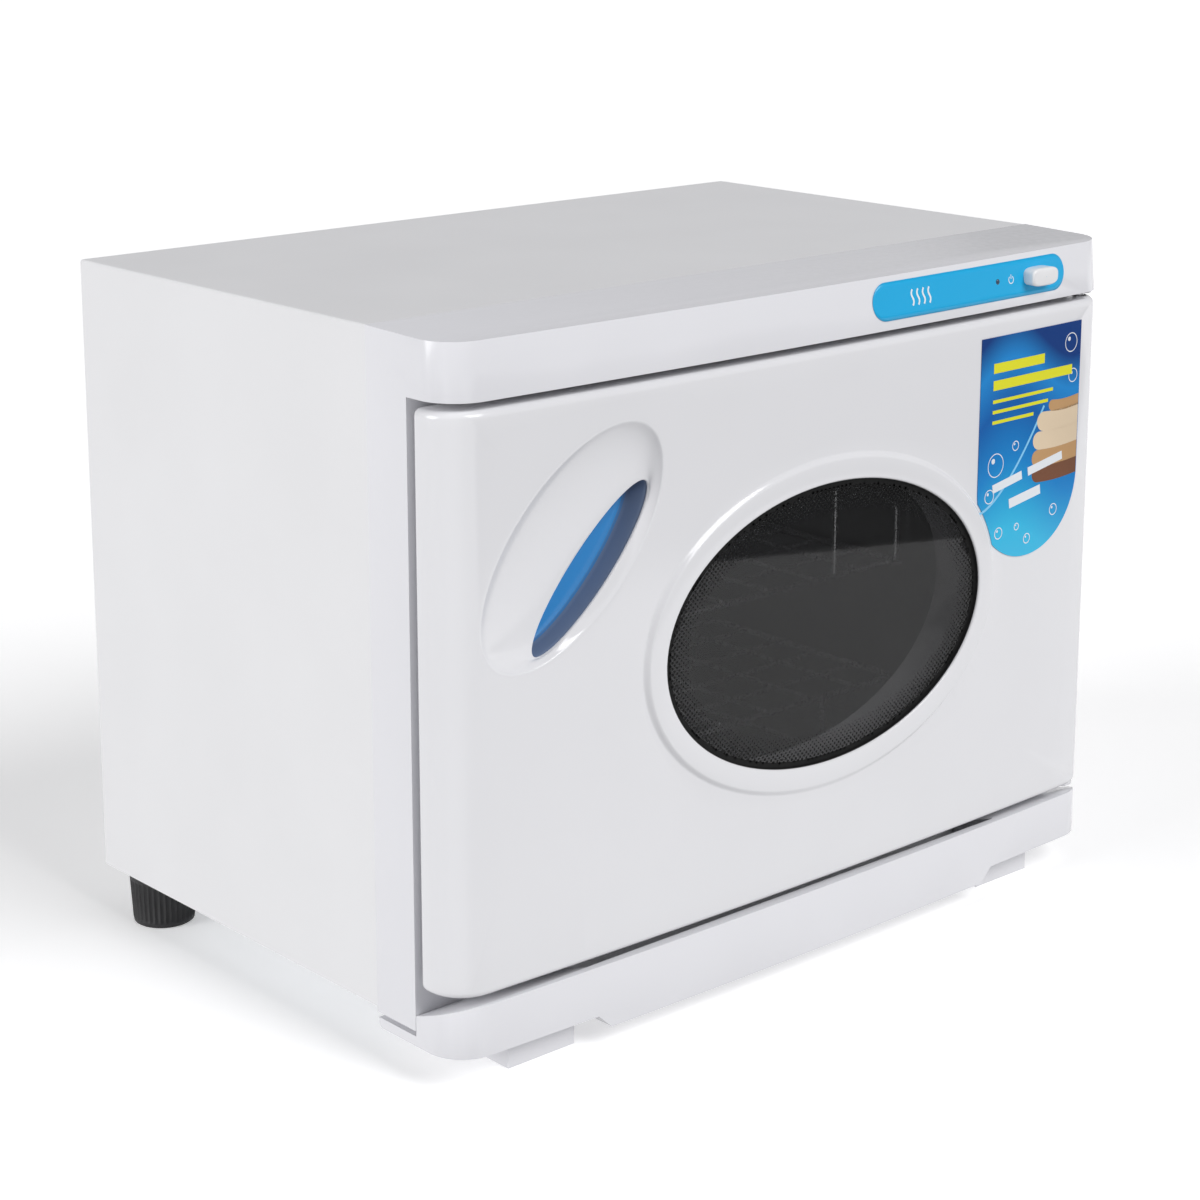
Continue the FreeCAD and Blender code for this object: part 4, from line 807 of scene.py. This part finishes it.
def ink_border():
    """Fired ink: a solid rim, then dots on a diagonal grid whose radius shrinks with the distance in.

    in = (r - r^2) / |gradient of r|, with r the ellipse's own radius at the dot; radius = pitch *
    (0.44 - 0.30 * in / fade).
    """
    pitch = 0.00205
    solid = 0.0032
    fade = 0.0150
    dot_sides = 10
    depth = glass_low.y - 0.00004
    turn = full_turn(240)
    rim = []
    for inset in (-0.0012, 0.0, solid * 0.5, solid):
        flat = oval(window_centre, (window_semi[0] - inset, window_semi[1] - inset), 0, turn)
        rim.append(at_depth(flat, depth))
    reach = int(window_semi[0] * 1.5 / pitch)
    row, column = np.meshgrid(np.arange(-reach, reach), np.arange(-reach, reach), indexing="ij")
    x = (row + column).ravel() * pitch / math.sqrt(2)
    z = (row - column).ravel() * pitch / math.sqrt(2)
    share_x = x / window_semi[0]
    share_z = z / window_semi[1]
    radius = np.hypot(share_x, share_z) + 1e-9
    steep = np.hypot(share_x / window_semi[0], share_z / window_semi[1]) + 1e-9
    depth_in = (radius - radius ** 2) / steep
    keep = (depth_in > solid * 0.8) & (depth_in < fade)
    size = pitch * (0.44 - 0.30 * depth_in[keep] / fade)
    disc = full_turn(dot_sides)
    centres = at_depth(np.stack([x[keep], z[keep]], 1) + np.array(window_centre), depth)
    spread = np.stack([np.cos(disc), np.zeros(dot_sides), np.sin(disc)], 1)
    dots = centres[:, None, :] + spread[None] * size[:, None, None]
    return [(np.array(rim), True)], list(dots)


def ink_finish():
    """Matt black ceramic ink."""
    material, tree, shader = start_finish("fired_ink")
    tone = shade_between(tree, grain(tree, 300), (0.003, 0.003, 0.003), (0.006, 0.006, 0.006))
    tree.links.new(tone, shader.inputs["Base Color"])
    roughen(tree, shader, grain(tree, 900), 0.45, 0.6)
    shader.inputs["Specular IOR Level"].default_value = 0.15
    return material


ink_grids, ink_dots = ink_border()
window_ink = skin("window_ink_border", ink_grids, ink_dots, inside=(window_centre[0], 0, window_centre[1]))
settle(window_ink, "door", "smoked_glass", ink_finish())


# ==== Back of the door =========================================================================
# A flat white moulded panel closes the door. A soft grey rubber seal with a hollow round lip is
# pushed into it and meets the frame round the chamber's mouth.

give("door_inner_panel", white_moulding)
seal_rubber = worked_finish("seal_rubber", (0.42, 0.42, 0.43), 0.06, (0.55, 0.7), 700, 0.00006)


def rounded_loop(half, low, high, radius, steps):
    """Rounded rectangle in x and z: points and outward normals, corner by corner."""
    points, normals = [], []
    for number, (x, z) in enumerate(((1, 1), (-1, 1), (-1, -1), (1, -1))):
        angle = np.linspace(0, math.pi / 2, steps) + number * math.pi / 2
        out = np.stack([np.cos(angle), np.sin(angle)], 1)
        centre = np.array([x * (half - radius), (high if z > 0 else low) - z * radius])
        points.append(centre + radius * out)
        normals.append(out)
    return np.concatenate(points), np.concatenate(normals)


def seal_rows():
    """Seal's section carried round a rounded rectangle: a flat foot with a plump round lip on it."""
    low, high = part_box("door_seal")
    half = 0.0050
    foot_tall = 0.0009
    lip_half = 0.0034
    tall = high.y - low.y
    loop, out = rounded_loop(high.x - half, low.z + half, high.z - half, radius=0.012, steps=8)
    foot = [(half, 0.0), (half, 0.0007), (0.0036, foot_tall)]
    section = [(-across, rise) for across, rise in foot]
    section += [(lip_half * math.sin(a), foot_tall + (tall - foot_tall) * math.cos(a))
                for a in np.linspace(-1.45, 1.45, 11)]
    section += foot[::-1]
    return np.array([at_depth(loop + out * across, low.y + rise) for across, rise in section])


door_seal = skin("door_seal_strip", [(seal_rows(), True)], sharp=50)
settle(door_seal, "door", "grey_seal", seal_rubber, "door_seal")


# ==== Control strip, button and lamp ===========================================================
# A cyan printed film on the header carries a white push button, a tiny dark lamp and generic
# printed signs. The button is a pillow-topped moulding.

header_share = header_lean / (frame_high.z - header_low)
strip_low, strip_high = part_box("control_label")
button_low, button_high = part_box("power_button")
lens_low, lens_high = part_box("indicator_lens")


def header_face(x, z):
    """Depth of the leaning header's face: the bow, set back with height."""
    return bow(x) + header_share * (np.asarray(z) - header_low)


strip_film = worked_finish("strip_film", (0.0, 0.42, 0.78), 0.02, (0.30, 0.38), 1200, 0.00001)
print_white = worked_finish("print_white", (0.85, 0.90, 0.92), 0.02, (0.35, 0.42), 900, 0.00001)
print_grey = worked_finish("print_grey", (0.035, 0.07, 0.12), 0.1, (0.10, 0.2), 900, 0.00001)
button_white = worked_finish("button_white", (0.86, 0.86, 0.87), 0.01, (0.16, 0.24), 400, 0.00002)


def flat_grid(outline_top, outline_low, steps, surface, lift):
    """Film between two edges of the same length, in rows from one to the other on a surface."""
    rows = []
    for share in np.linspace(0, 1, steps):
        flat = outline_top * (1 - share) + outline_low * share
        rows.append(at_depth(flat, surface(flat[:, 0], flat[:, 1]) - lift))
    return np.array(rows)


def strip_edges():
    """Upper and lower edge of the strip, whose ends are half circles."""
    radius = (strip_high.z - strip_low.z) / 2
    middle = (strip_high.z + strip_low.z) / 2
    angle = np.linspace(math.pi, math.pi / 2, 14)
    out = radius * np.cos(angle)
    rise = radius * np.sin(angle)
    along = np.linspace(strip_low.x + radius, strip_high.x - radius, 60)[1:-1]
    upper = np.concatenate([np.stack([strip_low.x + radius + out, rise], 1),
                            np.stack([along, np.full(len(along), radius)], 1),
                            np.stack([strip_high.x - radius - out[::-1], rise[::-1]], 1)])
    lower = upper * np.array([1, -1])
    return upper + [0, middle], lower + [0, middle]


strip_middle = (strip_low.z + strip_high.z) / 2
upper_edge, lower_edge = strip_edges()
strip_grid = flat_grid(upper_edge, lower_edge, 8, header_face, 0.00025)
control_strip = skin("control_strip", [(strip_grid, False)], inside=(0.1, 0.2, strip_middle))
strip_wall = control_strip.modifiers.new("film", "SOLIDIFY")
strip_wall.thickness = 0.0002
strip_wall.offset = -1
settle(control_strip, "cabinet", "blue_label", strip_film, "control_label")


def superellipse(half_x, half_z, turn, power):
    """Rounded rectangle: |x / a|^p + |z / b|^p = 1, as points at each turn."""
    across = np.sign(np.cos(turn)) * np.abs(np.cos(turn)) ** (2 / power)
    up = np.sign(np.sin(turn)) * np.abs(np.sin(turn)) ** (2 / power)
    return np.stack([half_x * across, half_z * up], 1)


def button_rows():
    """Button cap: straight sides, a rounded shoulder and a face that swells slightly in the middle."""
    shoulder = 0.0012
    swell = 0.0003
    cap_back = button_low.y + 0.0115
    half_x = (button_high.x - button_low.x) / 2
    half_z = (button_high.z - button_low.z) / 2
    rows = [(share, button_low.y + swell * share ** 2 + 0.0001) for share in (0.02, 0.3, 0.6, 0.8)]
    for a in np.linspace(0.15, math.pi / 2, 6):
        inset = shoulder * (1 - math.sin(a))
        rows.append((1 - inset / half_z, button_low.y + 0.0004 + shoulder * (1 - math.cos(a))))
    rows += [(1.0, cap_back), (0.9, cap_back)]
    grid = []
    for share, depth in rows:
        semi = (half_x * share, half_z * share) if share < 0.75 else (half_x - (1 - share) * half_z,
                                                                      half_z * share)
        flat = np.array(button_middle) + superellipse(*semi, full_turn(96), 3.4)
        grid.append(at_depth(flat, depth))
    return np.array(grid)


button_middle = ((button_high.x + button_low.x) / 2, (button_high.z + button_low.z) / 2)
stem_start = (button_middle[0], button_low.y + 0.011, button_middle[1])
stem_profile = [(0.0025, 0.0), (0.0025, 0.0095), (0.0018, 0.0103)]
stem_rows = turned_rows(stem_profile, 20, stem_start, (0, 1, 0), (1, 0, 0))
push_button = skin("push_button", [(button_rows(), True), (stem_rows, True)], sharp=55)
settle(push_button, "button", "white_button", button_white, "power_button")

lens_radius = 0.0015
lens_x = (lens_low.x + lens_high.x) / 2
lens_z = (lens_low.z + lens_high.z) / 2
lens_place = (lens_x, header_face(lens_x, lens_z), lens_z)
lens_profile = [(lens_radius * math.sin(a), 0.0001 + 0.0007 * math.cos(a))
                for a in np.linspace(0.02, 1.57, 8)]
lens_profile.append((lens_radius, -0.002))
lens_rows = turned_rows(lens_profile, 24, lens_place, (0, -1, 0), (1, 0, 0))
lamp_lens = skin("lamp_lens", [(lens_rows, True)])
settle(lamp_lens, "cabinet", "dark_lens", print_grey, "indicator_lens")


def printed(name, strokes, surface, lift, material, body, slot_name):
    """Printed strokes: bands of given width along centre lines, lying on a surface."""
    grids = []
    for line, width in strokes:
        line = np.array(line, float)
        along = np.gradient(line, axis=0)
        along /= np.linalg.norm(along, axis=1)[:, None]
        across = np.stack([-along[:, 1], along[:, 0]], 1) * width / 2
        grids.append((flat_grid(line + across, line - across, 3, surface, lift), False))
    piece = skin(name, grids, inside=(0, 1, 0.2))
    return settle(piece, body, slot_name, material)


def wave_line(x, low, high, swing):
    """Upright wavy line: x + swing sin(2 pi t), z from low to high."""
    share = np.linspace(0, 1, 16)
    return np.stack([x + swing * np.sin(2 * math.pi * share), low + (high - low) * share], 1)


def arc_line(x, z, radius, start, end, steps):
    """Circular arc as a centre line, from one angle to another in degrees."""
    turn = np.linspace(math.radians(start), math.radians(end), steps)
    return np.stack([x + radius * np.cos(turn), z + radius * np.sin(turn)], 1)


wave_half = 0.004
wave_pitch = 0.0042
wave_x = 0.066
power_x = 0.1428
sign_stroke = 0.0005
heat_sign = [(wave_line(wave_x + wave_pitch * step, strip_middle - wave_half, strip_middle + wave_half,
                        swing=0.0008), 0.0011) for step in range(4)]
power_bar = np.array([(power_x, strip_middle + rise) for rise in (0.0004, 0.0015, 0.0027)])
power_ring = arc_line(power_x, strip_middle, 0.0019, 125, 415, 24)
power_sign = [(power_ring, sign_stroke), (power_bar, sign_stroke)]
printed("strip_signs", heat_sign + power_sign, header_face, 0.0003, print_white, "cabinet", "blue_label")


# ==== Printed label on the door ================================================================
# A thin glossy film, square at the top and round at the bottom, with its lower left cut back round
# the window's ring. Its print is a blue sky with bubbles, folded towels and plain bars.

art_low, art_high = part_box("door_label")


def math_node(tree, operation, first, second=None, third=None):
    """One arithmetic step; its inputs are sockets or plain numbers."""
    node = tree.nodes.new("ShaderNodeMath")
    node.operation = operation
    for index, value in enumerate((first, second, third)):
        if value is None:
            continue
        if isinstance(value, (int, float)):
            node.inputs[index].default_value = value
        else:
            tree.links.new(value, node.inputs[index])
    return node.outputs["Value"]


def object_xz(tree):
    """The x and z of the object's own coordinates."""
    place = tree.nodes.new("ShaderNodeTexCoord")
    parts = tree.nodes.new("ShaderNodeSeparateXYZ")
    tree.links.new(place.outputs["Object"], parts.inputs["Vector"])
    return parts.outputs["X"], parts.outputs["Z"]


def label_finish():
    """Print on the film: bands of blue up the label, waved a little from side to side."""
    material, tree, shader = start_finish("label_print")
    x, z = object_xz(tree)
    tall = art_high.z - art_low.z
    wide = art_high.x - art_low.x
    up = math_node(tree, "DIVIDE", math_node(tree, "SUBTRACT", z, art_low.z), tall)
    right = math_node(tree, "DIVIDE", math_node(tree, "SUBTRACT", x, art_low.x), wide)
    wave = math_node(tree, "SINE", math_node(tree, "MULTIPLY", right, 5.0))
    level = math_node(tree, "SUBTRACT", up, math_node(tree, "MULTIPLY", wave, 0.10))
    ramp = tree.nodes.new("ShaderNodeValToRGB")
    stops = [(0.05, (0.02, 0.50, 0.80)), (0.35, (0.01, 0.24, 0.62)), (0.60, (0.01, 0.12, 0.42)),
             (0.80, (0.02, 0.26, 0.66)), (0.95, (0.01, 0.05, 0.22))]
    elements = ramp.color_ramp.elements
    elements[0].position, elements[0].color = stops[0][0], (*stops[0][1], 1)
    elements[1].position, elements[1].color = stops[-1][0], (*stops[-1][1], 1)
    for place, colour in stops[1:-1]:
        elements.new(place).color = (*colour, 1)
    tree.links.new(level, ramp.inputs["Fac"])
    tree.links.new(ramp.outputs["Color"], shader.inputs["Base Color"])
    fine = grain(tree, 700)
    roughen(tree, shader, fine, 0.16, 0.24)
    emboss(tree, shader, fine, 0.00001)
    return material


give("door_label", label_finish())


def door_face(x, z):
    """Depth of the film's front: the bowed face less the film."""
    return bow(x) - 0.00042


label_white = worked_finish("label_white", (0.82, 0.86, 0.90), 0.03, (0.2, 0.3), 700, 0.00001)
label_yellow = worked_finish("label_yellow", (0.80, 0.78, 0.03), 0.03, (0.2, 0.3), 700, 0.00001)
label_pale = worked_finish("label_pale", (0.25, 0.62, 0.90), 0.10, (0.2, 0.3), 300, 0.00001)
towel_cream = worked_finish("towel_cream", (0.75, 0.60, 0.42), 0.12, (0.5, 0.7), 900, 0.00002)
towel_tan = worked_finish("towel_tan", (0.52, 0.30, 0.13), 0.12, (0.5, 0.7), 900, 0.00002)
towel_brown = worked_finish("towel_brown", (0.16, 0.055, 0.02), 0.15, (0.5, 0.7), 900, 0.00002)


art_left = art_low.x
art_top = art_high.z


def bar(start, end):
    """Straight centre line between two places, measured right and down from the label's top left."""
    share = np.linspace(0, 1, 5)[:, None]
    first = np.array([art_left + start[0], art_top - start[1]])
    last = np.array([art_left + end[0], art_top - end[1]])
    return first * (1 - share) + last * share


title = [(bar((0.010, drop), (reach, drop)), 0.0052) for drop, reach in ((0.0165, 0.052), (0.0255, 0.076))]
notes = [(bar((0.010, drop), (reach, drop)), 0.0018)
         for drop, reach in ((0.0340, 0.060), (0.0395, 0.056), (0.0450, 0.044))]
printed("label_title_bars", title + notes, door_face, 0.00010, label_yellow, "door", "printed_label")

# Each bubble is (right, down, radius) from the label's top left: a thin ring and a small glint in it.
bubbles = [(0.0745, 0.011, 0.0050), (0.0770, 0.029, 0.0036), (0.0140, 0.068, 0.0062),
           (0.0095, 0.084, 0.0036), (0.0300, 0.060, 0.0025), (0.0560, 0.055, 0.0030),
           (0.0180, 0.105, 0.0030), (0.0420, 0.112, 0.0026), (0.0640, 0.100, 0.0030),
           (0.0330, 0.104, 0.0018)]
rings = [(arc_line(art_left + x, art_top - z, radius, 0, 360, 25), 0.0005) for x, z, radius in bubbles]
glints = [(arc_line(art_left + x - radius * 0.35, art_top - z + radius * 0.4, radius * 0.12, 0, 360, 25),
           radius * 0.22) for x, z, radius in bubbles]
printed("label_bubbles", rings + glints, door_face, 0.00008, label_white, "door", "printed_label")
sweep_share = np.linspace(0, 1, 24)
sweep_line = np.stack([art_left + 0.001 + 0.052 * sweep_share,
                       art_top - 0.092 + 0.050 * sweep_share ** 1.6], 1)
printed("label_sweep", [(sweep_line, 0.0014)], door_face, 0.00006, label_pale, "door", "printed_label")
slogan = [(bar((0.012, 0.0805), (0.036, 0.0765)), 0.0046),
          (bar((0.041, 0.0757), (0.070, 0.0712)), 0.0046),
          (bar((0.026, 0.0905), (0.052, 0.0868)), 0.0052)]
printed("label_slogan_bars", slogan, door_face, 0.00012, label_white, "door", "printed_label")


def towel(level, tall, start):
    """One folded towel: a band that swells from a round left end and runs to the label's edge.

    half height = tall / 2 * sqrt(1 - (1 - s)^2) over the round end, with a slight sag along it.
    """
    share = np.linspace(0, 1, 40) ** 1.6
    first = art_left + start
    across = first + (art_high.x - 0.0004 - first) * share
    end = np.clip((across - first) / (tall * 0.55), 0, 1)
    half = tall / 2 * np.sqrt(1 - (1 - end) ** 2)
    middle_line = art_top - level - 0.0010 * np.sin(math.pi * share)
    upper = np.stack([across, middle_line + half], 1)
    lower = np.stack([across, middle_line - half], 1)
    return flat_grid(upper, lower, 4, door_face, 0.00009), False


def towel_stack(name, towels, material):
    """Folded towels of one colour on the label."""
    piece = skin(name, [towel(level, tall, start) for level, tall, start in towels], inside=(0, 1, 0.2))
    settle(piece, "door", "printed_label", material)


towel_stack("label_towels_cream", [(0.0500, 0.0105, 0.0475), (0.0600, 0.0098, 0.0445)], towel_cream)
towel_stack("label_towels_tan", [(0.0695, 0.0092, 0.0440), (0.0425, 0.0060, 0.0570)], towel_tan)
towel_stack("label_towel_brown", [(0.0782, 0.0086, 0.0445)], towel_brown)


# ==== Drip tray ================================================================================
# A white moulded trough that slides out from under the door. Its front repeats the header's bow,
# and its lugs run back under the frame.

drip_tray = softened_copy("drip_tray_moulding", "drip_tray", width=0.0012, steps=3)
settle(drip_tray, "tray", "white_moulding", white_moulding, "drip_tray")


# ==== Feet =====================================================================================
# Two white moulded blocks carry the front. Two black rubber feet with upright flutes carry the
# back. All four are screwed to the floor sheet from inside.

for side_name in ("left", "right"):
    source = "front_foot_" + side_name
    foot = softened_copy("front_foot_block_" + side_name, source, width=0.0022, steps=4)
    settle(foot, "cabinet", "white_moulding", white_moulding, source)


def fluted_rows(low, high):
    """Rubber foot: radius grows with height, with 36 upright flutes between plain rims.

    radius = taper - flute * |sin(18 turn)|, where fluted; each level is (share of the top radius,
    height, 1 where fluted).
    """
    flute = 0.0008
    base_share = 16 / 17.5
    centre = np.array([(low.x + high.x) / 2, (low.y + high.y) / 2])
    top_radius = (high.x - low.x) / 2
    tall = high.z - low.z
    turn = full_turn(288)
    sole = [(0.01, 0.0009), (0.70, 0.0009), (0.78, 0.0), (0.93, 0.0), (0.985, 0.0006), (1.0, 0.002)]
    levels = [(share * base_share, level, 0) for share, level in sole]
    for share, fluted in ((0.10, 0), (0.14, 1), (0.5, 1), (0.86, 1), (0.90, 0)):
        levels.append((base_share + (1 - base_share) * share, tall * share, fluted))
    levels += [(1.0, tall * 0.94, 0), (1.0, tall, 0), (0.01, tall, 0)]
    grid = []
    for share, level, fluted in levels:
        radius = top_radius * share - flute * fluted * np.abs(np.sin(18 * turn))
        grid.append(np.stack([centre[0] + radius * np.cos(turn), centre[1] + radius * np.sin(turn),
                              np.full(len(turn), low.z + level)], 1))
    return np.array(grid)


for side_name in ("left", "right"):
    source = "rear_foot_" + side_name
    rubber_foot = skin("rubber_foot_" + side_name, [(fluted_rows(*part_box(source)), True)], sharp=60)
    settle(rubber_foot, "cabinet", "black_rubber", rubber, source)


# ==== Studio ===================================================================================
# A pale floor, two broad soft lights from the left and the front, and a dark flag on the floor,
# which only the gloss can see.

def studio_plane(name, corners, material):
    """Flat four-cornered sheet of the studio, seen directly and in gloss."""
    mesh = bpy.data.meshes.new(name)
    mesh.from_pydata(corners, [], [(0, 1, 2, 3)])
    mesh.materials.append(material)
    sheet = bpy.data.objects.new(name, mesh)
    bpy.context.scene.collection.objects.link(sheet)
    return sheet


floor_white = worked_finish("floor_white", (0.90, 0.90, 0.90), 0.004, (0.6, 0.7), 40, 0.00001)
floor_shader = floor_white.node_tree.nodes["Principled BSDF"]
floor_shader.inputs["Emission Color"].default_value = (1, 1, 1, 1)
floor_shader.inputs["Emission Strength"].default_value = 0.36
flag_black = worked_finish("flag_black", (0.01, 0.01, 0.01), 0.1, (0.8, 0.9), 40, 0.00001)
floor = studio_plane("floor", [(-14, -14, 0), (14, -14, 0), (14, 14, 0), (-14, 14, 0)], floor_white)
floor.visible_diffuse = False
flag = studio_plane("dark_flag", [(0.0, -0.92, 0.002), (0.0, -3.5, 0.002), (4.0, -3.5, 0.002),
                                  (1.6, -0.28, 0.002)], flag_black)
flag.visible_camera = False
flag.visible_diffuse = False
flag.visible_shadow = False


def far_light(name, place, strength, spread):
    """Broad far light that shines from a place towards the middle; spread is its width in degrees."""
    data = bpy.data.lights.new(name, "SUN")
    data.energy = strength
    data.angle = math.radians(spread)
    light = bpy.data.objects.new(name, data)
    light.location = place
    light.rotation_euler = (-Vector(place)).to_track_quat("-Z", "Y").to_euler()
    bpy.context.scene.collection.objects.link(light)


far_light("left_light", (-3.0, 0.8, 1.0), 1.75, 35)
far_light("front_light", (0.6, -2.4, 2.2), 2.1, 35)

world = bpy.data.worlds.new("studio")
bpy.context.scene.world = world
world.use_nodes = True
sky = world.node_tree
direction = sky.nodes.new("ShaderNodeTexCoord")
axes = sky.nodes.new("ShaderNodeSeparateXYZ")
sky.links.new(direction.outputs["Generated"], axes.inputs["Vector"])
sky.links.new(shade_between(sky, axes.outputs["Z"], (0.55, 0.55, 0.56), (0.10, 0.10, 0.11), 0.02, 0.75),
              sky.nodes["Background"].inputs["Color"])
bpy.context.scene.view_settings.view_transform = "Standard"

camera_data = bpy.data.cameras.new("camera")
camera = bpy.data.objects.new("camera", camera_data)
bpy.context.scene.collection.objects.link(camera)
bpy.context.scene.camera = camera
camera_data.sensor_width = 36
camera_data.lens = 81.99
camera_data.shift_y = -0.1333
camera_data.clip_start = 0.05
camera_data.clip_end = 50
azimuth = math.radians(41.73)
elevation = math.radians(13.02)
roll = math.radians(0.033)
ahead = Vector((math.sin(azimuth) * math.cos(elevation), math.cos(azimuth) * math.cos(elevation),
                -math.sin(elevation)))
level_right = ahead.cross(Vector((0, 0, 1))).normalized()
level_up = level_right.cross(ahead)
camera_right = level_right * math.cos(roll) + level_up * math.sin(roll)
camera_up = level_up * math.cos(roll) - level_right * math.sin(roll)
camera_place = (-0.9343, -1.0364, 0.5712)
camera_turn = Matrix((camera_right, camera_up, -ahead)).transposed()
camera.matrix_world = Matrix.Translation(camera_place) @ camera_turn.to_4x4()

bpy.context.view_layer.update()
